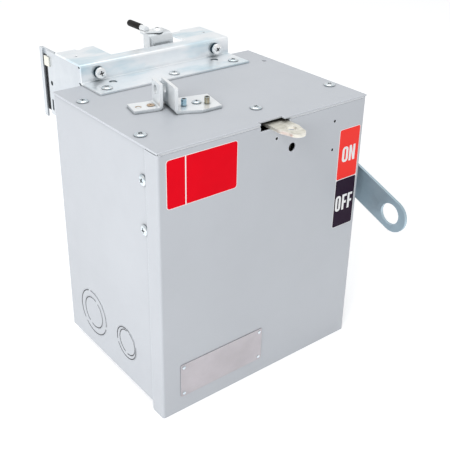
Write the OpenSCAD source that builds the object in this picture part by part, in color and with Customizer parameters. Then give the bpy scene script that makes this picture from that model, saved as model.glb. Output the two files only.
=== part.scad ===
// Fusible switch tap off box for a busway run: painted sheet steel enclosure with a drop-down cover,
// a plated plug-in head on top of the back panel, and a hook-stick operated three pole fused switch.
// The model stands upright. +X is to the right seen from the cover side, +Y goes back to the busway.
// The origin is on the underside of the enclosure, in the middle of its width and depth.

/* [Enclosure] */
// Width over the cover flanges
box_w = 238; // [200:1:320]
// Height from the underside of the body to the top panel
box_h = 266.7; // [255:0.1:340]
// Depth from the cover face to the back panel
box_d = 177; // [165:1:240]
// Thickness of the enclosure sheet
sheet = 1.5; // [1.2:0.1:2]
// Outside radius of the sheet metal bends
bend_r = 2.4; // [2.2:0.1:4]
// Gap between sheets that lie on different parts
sheet_gap = 0.3; // [0.2:0.05:0.6]
// Width of the folded lips inside the body
lip_w = 14; // [12:1:20]
// Width of the lips beside the front opening
front_lip_w = 8.4; // [6:0.1:10]
// Distances of the side screws below the top of the box
side_screw_drop = [79.4, 32.3]; // [25:0.1:100]
// Legs of the stiffeners behind the side screws
stiffener_leg = 14; // [12:1:18]

/* [Cover] */
// Depth of the cover's side and top flanges
flange_d = 17.5; // [14:0.5:22]
// How far the cover hangs below the body
overhang = 5.7; // [5:0.1:9]
// Gap between the cover and the top panel
lid_gap = 0.9; // [0.7:0.1:1.5]
// Chamfer at the lower corners of the side flanges
corner_chamfer = 1.5; // [1:0.5:10]
// Left edge of the latch slot
slot_x = 107; // [90:1:115]
// Width of the latch slot
slot_w = 34; // [32:0.5:44]
// Distance of the release hole from the left edge
release_x = 145.2; // [140:0.5:170]
// Distance of the release hole below the top of the box
release_drop = 30.9; // [26:0.1:40]
// Diameter of the release hole
release_d = 8.7; // [6:0.1:12]
// Diameter of the pilot holes in the cover
pilot_d = 3; // [2:0.5:4]
// Distances of the pilot holes from the left edge
pilot_x = [126, 197.8, 197.6]; // [110:0.1:220]
// Distances of the pilot holes below the top of the box
pilot_drop = [18.1, 18.1, 47]; // [10:0.1:70]
// Width of the notch in the top panel above the latch slot
notch_w = 27.5; // [20:0.5:30]
// Depth of the notch in the top panel
notch_d = 4.5; // [2:0.5:6]

/* [Cover hinge] */
// Radius of the hinge knuckles
knuckle_r = 2.2; // [2:0.1:2.4]
// Radius of the hinge pin
hinge_pin_r = 1; // [0.8:0.1:1.1]
// Radial clearance of the pin in the knuckles
pin_play = 0.05; // [0.02:0.01:0.1]
// Thickness of the hinge leaves
leaf_t = 1; // [0.8:0.1:1.2]
// Length of the hinge
hinge_len = 200; // [150:1:210]
// Number of knuckles
knuckles = 10; // [6:2:14]
// Width of the leaf under the body
leaf_w = 18; // [14:1:24]
// Height of the leaf behind the cover
leaf_h = 16; // [12:1:18]

/* [Knockouts] */
// Height of the knockout centres
knockout_z = 42.3; // [38:0.5:60]
// Distance of the large knockout from the cover face
large_y = 128.8; // [120:0.5:135]
// Diameters of the large concentric knockout
large_d = [50, 34.9]; // [20:0.1:64]
// Distance of the small knockout from the cover face
small_y = 65.4; // [60:0.5:75]
// Diameters of the small eccentric knockout
small_d = [34.9, 28.2]; // [20:0.1:50]
// Offset of the inner ring of the small knockout
small_offset = 2.3; // [1.5:0.1:2.6]
// Width of the sheared rings
shear_w = 0.7; // [0.4:0.1:1]
// Width of the ties that hold the knockouts
tie_w = 4; // [2:0.5:6]

/* [Cover latch] */
// Width of the latch tongue
tongue_w = 22; // [16:0.5:26]
// Reach of the tongue in front of the cover
tongue_reach = 30; // [22:1:38]
// Thickness of the tongue
tongue_t = 3; // [2:0.1:3.4]
// Play between the tongue and the right end of its slot
tongue_play = 1.5; // [1:0.1:3]
// Distance of the latch pivot from the cover face
latch_y = 32.6; // [30:0.5:45]
// Diameter of the padlock hole in the tongue
padlock_d = 9.5; // [7:0.1:11]

/* [Padlock ears] */
// Skew of the two ears on the top panel
ear_skew = 13; // [0:1:20]
// Distance of the left ear's front corner from the left edge of the box
ear_x = 57.5; // [50:0.5:70]
// Distance of the left ear's front corner from the cover face
ear_y = 76; // [60:0.5:90]
// Thickness of the ear plates
ear_t = 3; // [2:0.1:4]
// Height of the upright legs
ear_h = 24.4; // [20:0.1:30]
// Distance between the matching faces of the uprights
ear_pitch = 8.5; // [7:0.1:16]
// Length of the foot of the left ear
left_foot = 27; // [22:1:32]
// Width of the left ear
left_ear_w = 20; // [18:1:26]
// Length of the foot of the right ear
right_foot = 45; // [40:1:52]
// Width of the right ear
right_ear_w = 33; // [28:1:38]
// Diameter of the padlock holes in the ears
ear_hole_d = 8.5; // [6:0.1:10]
// Height of the padlock holes above the top panel
ear_hole_z = 16.5; // [12:0.5:18]
// Distance of the padlock holes from the ears' front edge
ear_hole_y = 11.4; // [8:0.1:14]
// Diameter of the spare hole in the foot of the left ear
spare_hole_d = 6; // [4:0.5:8]
// Height of the hexagon posts
post_h = 6.5; // [4:0.5:10]
// Width of the hexagon posts over their corners
post_d = 5.5; // [4:0.1:7]

/* [Plug-in head] */
// Distance of the head bracket from the left edge of the box
head_x = 31.5; // [28:0.5:36]
// Distance of the head bracket from the right edge of the box
head_right = 28.5; // [24:0.5:36]
// Thickness of the head bracket
head_t = 2; // [1.8:0.1:4]
// Depth of the bracket foot on the top panel
head_foot = 36; // [28:1:44]
// Height of the bracket above the top panel
head_rise = 19.5; // [17:0.5:26]
// Depth of the cross bar of the bracket
bar_d = 16; // [12:1:18]
// Distance of the outer foot screws from the ends of the bracket
foot_screw_in = 13; // [10:0.5:18]
// Distance of the foot holes from the ends of the bracket
foot_hole_in = 27.5; // [24:0.5:40]
// Distance of the head screws from the ends of the bracket
big_screw_in = 18.7; // [16:0.1:24]
// Distance of the holes in the arms from the sides of the bracket
arm_hole_in = 11; // [8:0.5:16]
// Distance of the holes in the arms behind the back panel
arm_hole_y = 29.5; // [22:0.5:40]
// Width of the left arm
left_arm_w = 43; // [30:1:50]
// Width of the right arm
right_arm_w = 45; // [30:1:50]
// Reach of the arms behind the back panel
arm_reach = 52; // [45:1:56]
// Thickness of the side plates
side_t = 2; // [1.5:0.1:3]
// Reach of the left side plate behind the back panel
hook_reach = 88; // [80:1:100]
// How far the side plates reach below the top of the box
side_drop = 50.7; // [46:0.1:60]
// Width of the side plates' feet on the back panel
side_foot_w = 18; // [15:0.5:24]
// Width of the side plates' flanges behind the bracket
side_front_w = 28; // [20:1:34]
// Outside bend radius of the side plates
side_bend = 3.5; // [2:0.5:5]
// Width of the busway slot in the left side plate
hook_slot = 10; // [8:0.5:14]
// Width of the hook behind the slot
hook_w = 6; // [5:0.5:9]
// Height of the stab block
stab_block_h = 30; // [24:1:34]
// Depth of the stab block
stab_block_d = 54; // [46:1:60]
// Reach of the stabs beyond the block
stab_reach = 24; // [16:1:28]
// Thickness of the stabs and straps
copper_t = 2.5; // [2:0.1:3]
// Width of the stabs, straps and switch blades
copper_w = 14; // [10:0.5:16]

/* [Busway clamp] */
// Distance of the clamp shaft to the right of the middle of the bracket
clamp_off = 17.5; // [8:0.5:18]
// Distance of the clamp shaft behind the back panel
clamp_y = 29; // [24:1:34]
// Radius of the clamp shaft
clamp_shaft_r = 4; // [3:0.1:5]
// Height of the clamp bracket above the arms
clamp_rise = 10; // [9:0.5:20]
// Width of the clamp bracket
clamp_w = 27; // [25:1:36]
// Sheet thickness of the clamp bracket
clamp_t = 2.5; // [2:0.1:3]
// Bend radius of the clamp bracket
clamp_bend = 8; // [4:0.5:9]
// Bend radius between the clamp bracket's web and its side wall
clamp_corner = 4; // [3.5:0.5:6]
// Depth of the clamp bracket's side wall
clamp_wall_d = 15; // [12:0.5:18]
// Sideways reach of the clamp lever
lever_side = 12.5; // [10:0.5:20]
// Radius of the lever rod
rod_r = 1.8; // [1.5:0.1:2.2]
// Radius of the lever grip
grip_r = 3.5; // [2.9:0.1:4.5]
// Length of the lever grip
grip_len = 25; // [18:1:26]
// Length of the clamp dog
dog_len = 42; // [30:1:46]
// Width of the clamp dog
dog_w = 10; // [8:0.5:12]
// Thickness of the clamp dog
dog_t = 4; // [3:0.5:5]
// Thickness of the clamp lever
lever_t = 2; // [2:0.5:4]
// Radius of the clamp lever round its shaft
lever_r = 6; // [5.5:0.5:9]

/* [Handle] */
// Distance of the operating shaft from the cover face
shaft_y = 54; // [52:0.5:70]
// Distance of the operating shaft below the top of the box
shaft_drop = 82.7; // [78:0.1:96]
// Radius of the operating shaft
shaft_r = 6; // [5:0.1:7]
// Gap between the side of the box and the lever
handle_gap = 10.5; // [7:0.5:14]
// Thickness of the lever
handle_t = 3; // [2.5:0.1:5]
// Width of the lever
handle_w = 34; // [28:1:40]
// Distance from the shaft to the hook-stick hole
handle_reach = 96.4; // [80:0.1:120]
// Diameter of the hook-stick hole
hook_hole_d = 22.2; // [16:0.1:24]
// Metal beyond the hook-stick hole
hook_rim = 9; // [6:0.5:12]
// Angle of the lever below the level line in the off position
handle_angle = 20.4; // [15:0.1:24]

/* [Switch] */
// Distance between the poles
pole_pitch = 45; // [42:1:50]
// Radius of the switch crossbar
crossbar_r = 12; // [10:0.5:14]
// Half length of the switch blades
blade_reach = 50; // [44:1:52]
// Overlap of the blade and the jaw
jaw_h = 12; // [8:0.5:14]
// Gap between a blade and each jaw finger
jaw_gap = 0.1; // [0.05:0.01:0.2]
// Thickness of the jaw fingers
finger_t = 1.5; // [1:0.1:2]
// Distance of the insulating bases behind the shaft
base_gap = 50; // [46:1:56]
// Thickness of the insulating bases
base_t = 20; // [14:1:24]
// Thickness of the phase barriers
barrier_t = 1.6; // [1.2:0.1:3]
// Distance of the phase barriers from the cover face
barrier_front = 14; // [10:1:20]
// Thickness of the bearing plates
plate_t = 3; // [2:0.1:4]
// Thickness of the crank arm
crank_t = 4; // [3:0.5:5]
// Width of the crank arm
crank_w = 12; // [10:0.5:14]
// Thickness of the spring link
link_t = 3; // [2:0.5:4]
// Radius of the crank pin circle
crank_r = 20; // [18:0.5:24]
// Distance from the shaft to the spring link pivot
link_reach = 60; // [56:1:66]
// Radius of the mechanism pins
mech_pin_r = 3; // [2.5:0.1:3.5]
// Outside diameter of the toggle spring
spring_d = 13; // [10:0.5:15]
// Wire diameter of the toggle spring
spring_wire = 1.8; // [1.2:0.1:2.2]

/* [Fuses] */
// Diameter of the fuse ferrules
fuse_d = 20.6; // [14:0.1:24]
// Length of the fuses
fuse_len = 76.2; // [70:0.1:82]
// Length of each ferrule
ferrule_len = 16; // [12:0.5:18]
// Gap between the load straps and the upper end of the fuses
fuse_gap = 9.8; // [8:0.1:14]
// Thickness of the clip metal
clip_t = 1.2; // [0.8:0.1:1.6]
// Width of the fuse clips
clip_w = 12; // [9:0.5:14]
// Diameter of the wire holes in the load lugs
wire_d = 8; // [5:0.1:9]
// Size of the load lugs, across, deep and high
lug = [14, 16, 14]; // [10:0.5:20]
// Gap between the load lugs and the lower end of the fuses
lug_gap = 1.5; // [1:0.5:6]

/* [Fasteners] */
// Head diameter of the enclosure screws
screw_head_d = 11; // [8:0.1:12]
// Head height of the enclosure screws
screw_head_h = 2.6; // [1.5:0.1:3.5]
// Head diameter of the side screws
side_head_d = 10.4; // [8:0.1:11]
// Head diameter of the padlock ears' screws
ear_head_d = 9; // [7:0.1:11]
// Shank diameter of the enclosure screws
screw_d = 4.8; // [4:0.1:6]
// Head diameter of the large head screws
big_head_d = 13; // [11:0.1:15]
// Head height of the large head screws
big_head_h = 5; // [3:0.1:6]
// Thickness of the washers under the large head screws
washer_t = 2; // [1:0.1:2.5]
// Shank diameter of the large head screws
big_screw_d = 6.4; // [5:0.1:7]
// Width across the small nuts
small_nut_w = 9; // [8:0.5:10]
// Height of the small nuts
small_nut_h = 4; // [3:0.5:5]
// Length of the enclosure screws below their heads
screw_len = 9; // [7:0.5:12]
// Projection of the screws beyond their nuts
screw_out = 2; // [1:0.5:3]

/* [Hidden] */
$fn = 48;

paint = [0.76, 0.79, 0.83];
zinc = [0.78, 0.82, 0.85];
dull_zinc = [0.6, 0.68, 0.73];
yellow_zinc = [0.85, 0.84, 0.72];
copper = [0.78, 0.5, 0.34];
tinned = [0.8, 0.8, 0.78];
brass = [0.85, 0.75, 0.55];
black = [0.1, 0.1, 0.11];
phenolic = [0.2, 0.17, 0.16];
fibre = [0.72, 0.25, 0.2];

cut = 1;

// Levels and planes of the sheet metal
wall_x = sheet + sheet_gap;
wall_in = wall_x + sheet;
rim_y = sheet + leaf_t + 2 * sheet_gap;
panel_z = box_h - sheet;
cover_top = panel_z - lid_gap;
flange_z = cover_top - sheet;
lip_y = flange_d + 3;
cover_play = 0.4;
release_z = box_h - release_drop;
back_in = box_d - sheet;

// Screws along the folded lips
lip_screw_x = wall_in + lip_w / 2;
lip_screw_y = [lip_y + 19, box_d - 40];
side_screw_y = flange_d + screw_head_d / 2 + sheet_gap;
side_screw_z = [for (d = side_screw_drop) box_h - d];
hole_play = 0.2;

// Cover hinge axis
hinge_y = sheet + knuckle_r;
hinge_z = -knuckle_r;
hinge_x = (box_w - hinge_len) / 2;
knuckle_pitch = hinge_len / knuckles;
knuckle_gap = 0.3;

// Padlock ears, in the skewed frame of the ears
right_ear_y = left_ear_w - right_ear_w - 2;
right_ear_x = ear_pitch - ear_t;
ear_bend = ear_t + 1.5;
ear_screw_at = [[-8.5, 9], [right_ear_x + 26.5, 0]];
ear_post_at = [[right_ear_x + 13, -3], [right_ear_x + 34.5, -5.5]];
ear_post_r = 1.5;

// Cover latch
latch_x = slot_x + slot_w - tongue_play - tongue_w / 2;
latch_top = flange_z - 0.2;
latch_z = latch_top - tongue_t;
slot_z = latch_z - cover_play;
latch_gap = 0.1;
tip_r = tongue_w / 2 - 3;
tip_taper = 9;
padlock_y = tongue_reach / 2 - 1;
latch_leg_w = 10;
latch_leg_t = 2.5;
latch_leg_end = release_z - 6;
spacer_r = 7;

// Plug-in head
head_w = box_w - head_x - head_right;
head_cx = head_x + head_w / 2;
arm_top = box_h + head_rise;
arm_z = arm_top - head_t;
head_bend = head_t + 1;
foot_screw_y = box_d - head_foot + 10.5;
foot_screw_x = [head_x + foot_screw_in, head_cx + 1, head_x + head_w - foot_screw_in];
big_screw_x = [head_x + big_screw_in, head_x + head_w - big_screw_in];
big_screw_z = box_h + head_rise / 2 + 0.5;
foot_hole_y = 12;
foot_hole_r = 4;
arm_hole_r = 1.3;
side_low = box_h - side_drop;
side_foot_z = side_low + 4;
side_foot_h = side_drop - 12;
web_y = box_d + head_t;
block_gap = 2;
bridge_h = 6;
bridge_lap = 12;
big_nut_w = 10;
big_nut_h = 5;
slot_back = box_d + hook_reach - hook_w;
slot_front = slot_back - hook_slot;

// Switch poles and current path
shaft_z = box_h - shaft_drop;
jaw_rise = 4;
pole_x = [for (i = [-1 : 1]) box_w / 2 + i * pole_pitch];
strap_z = shaft_z + blade_reach + jaw_rise;
load_z = shaft_z - blade_reach - jaw_rise;
jaw_off = copper_t / 2 + jaw_gap;
base_y = shaft_y + base_gap;
base_rim = 2.5;
base_x = pole_x[0] - pole_pitch / 2 - base_rim;
base_w = 3 * pole_pitch + 2 * base_rim;
base_low = load_z + jaw_rise;
groove_d = 4;
post_r = 9;
post_in = 14;
bus_bar_t = 6.4;
finger_z = strap_z - bus_bar_t - copper_t;
stab_end = box_d + stab_block_d + stab_reach;
stab_bolt_y = box_d + 16;
stab_bolt_r = 2.5;
bolt_access_r = 4.5;
block_top = strap_z + copper_t + 5.5;
block_x = head_x + side_t + side_foot_w + block_gap;
block_w = head_w - 2 * (side_t + side_foot_w + block_gap);
strap_room = 5;

// Busway clamp
clamp_x = head_cx + clamp_off;
clamp_cy = box_d + clamp_y;
clamp_front = clamp_cy - 9;
clamp_back = clamp_cy + 12;
clamp_top = arm_top + clamp_rise;
clamp_x0 = clamp_x - clamp_w / 2;
neck_r = grip_r - 0.5;
neck_y = 8;
neck_end = 11;
grip_start = neck_end + sheet_gap;
rod_start = 2;
rod_end = grip_start + grip_len - grip_r;
lever_z = clamp_top + sheet_gap;
rod_z = clamp_top + grip_r + 2 * sheet_gap;
dog_play = 3.5;
dog_z = block_top + clamp_t + dog_play;

// Handle and switch drive
swing = 2 * handle_angle;
handle_x = box_w + handle_gap;
drive_sq = shaft_r * 1.5;
plate_x = base_x + base_w;
crank_x = plate_x + plate_t + 4;
link_x = crank_x + crank_t + 0.4;
bearing_nose = shaft_r + 8;
plate_up = 36;
plate_down = 32;
bushing_wall = 4;
flange_t = 3;
stub_out = 2;
bar_socket = 12;
nut_t = 6.5;
stud_r = 4;
lever_washer_t = 1.6;
pin_end = link_x + link_t + 2.5;
half_chord = crank_r * sin(handle_angle);
link_gap = link_reach - crank_r * cos(handle_angle);
link_angle = atan(half_chord / link_gap);
link_long = sqrt(half_chord * half_chord + link_gap * link_gap);
link_short = link_reach - crank_r;
slot_play = 0.25;
stop_r = 2.5;
stop_at = 16;
stop_turn = handle_angle + asin((crank_w / 2 + stop_r + 0.3) / stop_at);

// Fuses
fuse_y = shaft_y + 16;
fuse_z = load_z - fuse_gap - fuse_len;
clip_y = fuse_y + fuse_d / 2 + clip_t + 1.5;
fuse_base_y = clip_y + copper_t;
fuse_base_d = 14;
clip_z = [fuse_z + (ferrule_len - clip_w) / 2, fuse_z + fuse_len - ferrule_len + (ferrule_len - clip_w) / 2];
lug_z = fuse_z - lug_gap - lug[2];
lug_wall = lug[1] / 2 - wire_d / 2 + 1;
lug_screw_r = 3;

// Places the front left lower corner of the box so that the origin is centred under the body.
module box_frame() {
    translate([-box_w / 2, -box_d / 2, 0]) children();
}

// Extrudes a profile drawn in Y and Z along X.
module along_x(x, length) {
    translate([x, 0, 0]) rotate([90, 0, 90]) linear_extrude(length) children();
}

// Extrudes a profile drawn in X and Z along Y.
module along_y(y, length) {
    translate([0, y + length, 0]) rotate([90, 0, 0]) linear_extrude(length) children();
}

// Round bar along X, Y or Z.
module bar_x(x, y, z, r, length) {
    translate([x, y, z]) rotate([0, 90, 0]) cylinder(r = r, h = length);
}

module bar_y(x, y, z, r, length) {
    translate([x, y, z]) rotate([-90, 0, 0]) cylinder(r = r, h = length);
}

module bar_z(x, y, z, r, length) {
    translate([x, y, z]) cylinder(r = r, h = length);
}

// Rectangle whose lower corners are round; the right one stays square if asked.
module rounded_base(w, h, r, both) {
    difference() {
        square([w, h]);
        square(r);
        if (both) translate([w - r, 0]) square([r + cut, r]);
    }
    translate([r, r]) circle(r);
    if (both) translate([w - r, r]) circle(r);
}

// Channel open at the top, with round lower corners.
module channel(w, h, t, r) {
    difference() {
        rounded_base(w, h, r, true);
        translate([t, t]) rounded_base(w - 2 * t, h, r - t, true);
    }
}

// Angle with one round outer corner at the origin; legs run along +X and +Y.
module angle_profile(a, b, t, r) {
    difference() {
        rounded_base(a, b, r, false);
        translate([t, t]) rounded_base(a, b, r - t, false);
    }
}

// Domed screw with a cross recess; the head rises from the origin and the shank goes down.
module dome_screw(head_d, head_h, shank_d, length) {
    dome_r = (head_d * head_d / 4 + head_h * head_h) / (2 * head_h);
    difference() {
        intersection() {
            translate([0, 0, head_h - dome_r]) sphere(dome_r);
            cylinder(d = head_d, h = head_h + cut);
        }
        for (turn = [0, 90])
            translate([0, 0, head_h])
                rotate(turn)
                    cube([head_d / 2, head_d / 9, head_h], center = true);
    }
    translate([0, 0, -length]) cylinder(d = shank_d, h = length);
}

// Hexagon nut with its bore, standing on the origin.
module hex_nut(across, height, bore_d) {
    difference() {
        cylinder(d = across / cos(30), h = height, $fn = 6);
        translate([0, 0, -cut]) cylinder(d = bore_d, h = height + 2 * cut);
    }
}

// Sheared ring of a knockout, left open except at its ties; drawn in Y and Z.
module shear_ring(d, ties, turn) {
    difference() {
        circle(d = d);
        circle(d = d - 2 * shear_w);
        for (i = [0 : ties - 1])
            rotate(turn + i * 360 / ties) translate([0, -tie_w / 2]) square([d, tie_w]);
    }
}

// ---- Enclosure ----

module enclosure_body() {
    color(paint) box_frame() difference() {
        union() {
            along_y(rim_y, box_d - rim_y)
                translate([wall_x, 0]) channel(box_w - 2 * wall_x, panel_z, sheet, bend_r);
            // Back panel, set between the side walls and into the floor
            translate([wall_x + sheet / 2, back_in, sheet / 2])
                cube([box_w - 2 * wall_x - sheet, sheet, panel_z - sheet / 2]);
            top_lips();
            front_lips();
        }
        // Room for the cover's top flange
        translate([-cut, -cut, flange_z - cover_play]) cube([box_w + 2 * cut, lip_y - 1 + cut, box_h]);
        // Opening for the straps to the plug-in head
        translate([pole_x[0] - copper_w / 2 - strap_room, back_in - cut, finger_z - strap_room])
            cube([2 * pole_pitch + copper_w + 2 * strap_room, sheet + 2 * cut,
                strap_z + copper_t + 2 * strap_room - finger_z]);
        knockouts();
        for (x = [lip_screw_x, box_w - lip_screw_x], y = lip_screw_y)
            bar_z(x, y, panel_z - sheet - cut, screw_d / 2 + hole_play, sheet + 2 * cut);
        for (z = side_screw_z)
            bar_x(-cut, side_screw_y, z, screw_d / 2 + hole_play, box_w + 2 * cut);
        bar_x(box_w / 2, shaft_y, shaft_z, shaft_r + bushing_wall + hole_play, box_w);
    }
}

// Lips that carry the top panel
module top_lips() {
    seam = sheet / 2;
    for (x = [wall_in - seam, box_w - wall_in - lip_w])
        translate([x, lip_y, panel_z - sheet]) cube([lip_w + seam, box_d - lip_y, sheet]);
    translate([wall_in - seam, back_in - lip_w, panel_z - sheet])
        cube([box_w - 2 * (wall_in - seam), lip_w + seam, sheet]);
}

// Lips that stiffen the sides of the front opening
module front_lips() {
    seam = sheet / 2;
    low = leaf_h + 4;
    high = flange_z - 8;
    for (x = [wall_in - seam, box_w - wall_in - front_lip_w])
        translate([x, rim_y, low]) cube([front_lip_w + seam, sheet, high - low]);
}

module knockouts() {
    along_x(wall_x - cut, sheet + 2 * cut) {
        translate([large_y, knockout_z]) shear_ring(large_d[0], 3, 75);
        translate([large_y, knockout_z]) shear_ring(large_d[1], 2, 115);
        translate([small_y, knockout_z]) shear_ring(small_d[0], 2, 160);
        translate([small_y - small_offset * cos(45), knockout_z + small_offset * sin(45)])
            shear_ring(small_d[1], 2, 100);
    }
}

module top_panel() {
    color(paint) box_frame() difference() {
        translate([0, 0, panel_z]) cube([box_w, box_d, sheet]);
        // Notch over the latch slot
        translate([slot_x, -cut, panel_z - cut]) cube([notch_w, notch_d + cut, sheet + 2 * cut]);
        for (x = [lip_screw_x, box_w - lip_screw_x], y = lip_screw_y)
            bar_z(x, y, panel_z - cut, screw_d / 2 + hole_play, sheet + 2 * cut);
        bar_z(latch_x, latch_y, panel_z - cut, screw_d / 2 + hole_play, sheet + 2 * cut);
        for (x = foot_screw_x)
            bar_z(x, foot_screw_y, panel_z - cut, screw_d / 2 + hole_play, sheet + 2 * cut);
        ear_frame() for (at = ear_screw_at)
            bar_z(at[0], at[1], -sheet - cut, screw_d / 2 + hole_play, sheet + 2 * cut);
    }
}

module cover() {
    height = cover_top + overhang;
    color(paint) box_frame() difference() {
        union() {
            // Face and side flanges, bent from one sheet
            translate([0, 0, -overhang]) linear_extrude(height)
                channel(box_w, flange_d, sheet, bend_r);
            // Top flange
            along_x(bend_r + sheet, box_w - 2 * (bend_r + sheet))
                translate([0, cover_top]) mirror([0, 1]) angle_profile(flange_d, bend_r + 2, sheet, bend_r);
        }
        // The sharp upper edge of the face gives way to the bend
        translate([bend_r + sheet, -cut, cover_top - bend_r])
            difference() {
                cube([box_w - 2 * (bend_r + sheet), bend_r + cut, bend_r + cut]);
                bar_x(-cut, bend_r + cut, 0, bend_r, box_w);
                translate([-cut, sheet + cut, -cut]) cube([box_w, bend_r, bend_r - sheet + cut]);
            }
        // Latch slot through the face and the top flange
        translate([slot_x, -cut, slot_z]) cube([slot_w, flange_d + 2 * cut, box_h]);
        for (x = [-cut, box_w - sheet - cut])
            along_x(x, sheet + 2 * cut)
                polygon([
                    [flange_d - corner_chamfer, -overhang - cut], [flange_d + cut, -overhang - cut],
                    [flange_d + cut, corner_chamfer - overhang], [flange_d, corner_chamfer - overhang],
                    [flange_d - corner_chamfer, -overhang]
                ]);
        bar_y(release_x, -cut, release_z, release_d / 2, sheet + 2 * cut);
        for (i = [0 : len(pilot_x) - 1])
            bar_y(pilot_x[i], -cut, box_h - pilot_drop[i], pilot_d / 2, sheet + 2 * cut);
    }
}

// ---- Cover hinge ----

// One leaf's knuckles: every second one along the hinge, starting with the given one.
module knuckle_row(first) {
    for (i = [first : 2 : knuckles - 1])
        bar_x(hinge_x + i * knuckle_pitch + knuckle_gap / 2, hinge_y, hinge_z, knuckle_r,
            knuckle_pitch - knuckle_gap);
}

module knuckle_room(first) {
    for (i = [first : 2 : knuckles - 1])
        bar_x(hinge_x + i * knuckle_pitch - knuckle_gap / 2, hinge_y, hinge_z, knuckle_r + 0.2,
            knuckle_pitch + knuckle_gap);
}

module hinge_body_leaf() {
    color(zinc) box_frame() difference() {
        union() {
            knuckle_row(0);
            difference() {
                translate([hinge_x, hinge_y, -leaf_t]) cube([hinge_len, leaf_w, leaf_t]);
                knuckle_room(1);
            }
        }
        bar_x(0, hinge_y, hinge_z, hinge_pin_r, box_w);
    }
}

module hinge_cover_leaf() {
    color(zinc) box_frame() difference() {
        union() {
            knuckle_row(1);
            difference() {
                translate([hinge_x, sheet, hinge_z]) cube([hinge_len, leaf_t, leaf_h - hinge_z]);
                knuckle_room(0);
            }
        }
        bar_x(0, hinge_y, hinge_z, hinge_pin_r + pin_play, box_w);
    }
}

module hinge_pin() {
    color(zinc) box_frame() bar_x(hinge_x, hinge_y, hinge_z, hinge_pin_r, hinge_len);
}

// ---- Stiffeners and screws of the enclosure ----

module side_stiffeners() {
    low = side_screw_z[0] - stiffener_leg;
    high = side_screw_z[1] + stiffener_leg - 2;
    color(zinc) box_frame() difference() {
        for (side = [0, 1])
            translate([side * box_w, 0, low])
                mirror([side, 0, 0])
                    translate([wall_in, side_screw_y + stiffener_leg / 2 + 1, 0])
                        mirror([0, 1, 0])
                            linear_extrude(high - low)
                                angle_profile(stiffener_leg, stiffener_leg + 1, sheet, bend_r);
        for (z = side_screw_z) bar_x(-cut, side_screw_y, z, screw_d / 2, box_w + 2 * cut);
    }
}

module side_screws() {
    color(zinc) box_frame() for (side = [0, 1], z = side_screw_z)
        translate([side == 0 ? wall_x : box_w - wall_x, side_screw_y, z])
            rotate([0, side == 0 ? -90 : 90, 0])
                dome_screw(side_head_d, screw_head_h, screw_d, screw_len - 1);
}

module top_screws() {
    color(zinc) box_frame() for (i = [0, 1], j = [0, 1])
        if (i + j < 2)
            translate([i == 0 ? lip_screw_x : box_w - lip_screw_x, lip_screw_y[j], box_h])
                dome_screw(screw_head_d, screw_head_h, screw_d, screw_len);
}

// ---- Cover latch ----

module cover_latch() {
    reach = latch_y + tongue_reach;
    leg_y = flange_d + 4;
    leg_x = release_x - latch_leg_w / 2;
    shoulder = tip_r - reach + tip_taper;
    color(yellow_zinc) box_frame() difference() {
        translate([latch_x, latch_y, latch_z]) {
            linear_extrude(tongue_t) {
                circle(tongue_w / 2);
                polygon([
                    [-tongue_w / 2, 0], [-tongue_w / 2, shoulder], [-tip_r, tip_r - reach],
                    [tip_r, tip_r - reach], [tongue_w / 2, shoulder], [tongue_w / 2, 0]
                ]);
                translate([0, tip_r - reach]) circle(tip_r);
            }
            // Leg that is reached through the release hole
            translate([0, leg_y - latch_y, 0])
                cube([leg_x + latch_leg_w - latch_x, latch_y - leg_y, tongue_t]);
            translate([leg_x - latch_x, leg_y - latch_y, latch_leg_end - latch_z])
                cube([latch_leg_w, latch_leg_t, latch_top - latch_leg_end]);
        }
        bar_z(latch_x, latch_y, latch_z - cut, screw_d / 2 + pin_play, tongue_t + 2 * cut);
        bar_z(latch_x + 1, -padlock_y, latch_z - cut, padlock_d / 2, tongue_t + 2 * cut);
    }
}

module latch_screw() {
    color(zinc) box_frame() translate([latch_x, latch_y, box_h])
        dome_screw(screw_head_d, screw_head_h, screw_d, box_h - latch_z + small_nut_h + 1);
}

module latch_spacer() {
    color(zinc) box_frame() difference() {
        bar_z(latch_x, latch_y, latch_top + latch_gap, spacer_r, panel_z - latch_top - latch_gap);
        bar_z(latch_x, latch_y, latch_z, screw_d / 2, box_h);
    }
}

module latch_nut() {
    color(zinc) box_frame() translate([latch_x, latch_y, latch_z - latch_gap - small_nut_h])
        hex_nut(small_nut_w, small_nut_h, screw_d);
}

// ---- Padlock ears on the top panel ----

// Frame of the skewed ears: +Y runs along the uprights and the uprights face along X.
module ear_frame() {
    translate([ear_x, ear_y, box_h]) rotate(-ear_skew) children();
}

module padlock_ear_left() {
    color(zinc) box_frame() ear_frame() difference() {
        along_y(0, left_ear_w) mirror([1, 0]) angle_profile(left_foot, ear_h, ear_t, ear_bend);
        bar_x(-ear_t - cut, ear_hole_y, ear_hole_z, ear_hole_d / 2, ear_t + 2 * cut);
        bar_z(-left_foot * 0.75, ear_hole_y - 2.6, -cut, spare_hole_d / 2, ear_t + 2 * cut);
        bar_z(ear_screw_at[0][0], ear_screw_at[0][1], -cut, screw_d / 2, ear_t + 2 * cut);
    }
}

module padlock_ear_right() {
    color(zinc) box_frame() ear_frame() difference() {
        union() {
            along_y(right_ear_y, right_ear_w)
                translate([right_ear_x, 0]) angle_profile(right_foot, ear_h, ear_t, ear_bend);
            // Foot runs out to a blunt point at the front
            translate([right_ear_x, right_ear_y, 0]) linear_extrude(ear_t)
                polygon([[8, 0], [right_foot * 0.55, -4], [right_foot - 2, 0]]);
        }
        bar_x(right_ear_x - cut, ear_hole_y, ear_hole_z, ear_hole_d / 2, ear_t + 2 * cut);
        bar_z(ear_screw_at[1][0], ear_screw_at[1][1], -cut, screw_d / 2, ear_t + 2 * cut);
        for (at = ear_post_at) bar_z(at[0], at[1], -cut, ear_post_r, ear_t + 2 * cut);
    }
}

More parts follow.
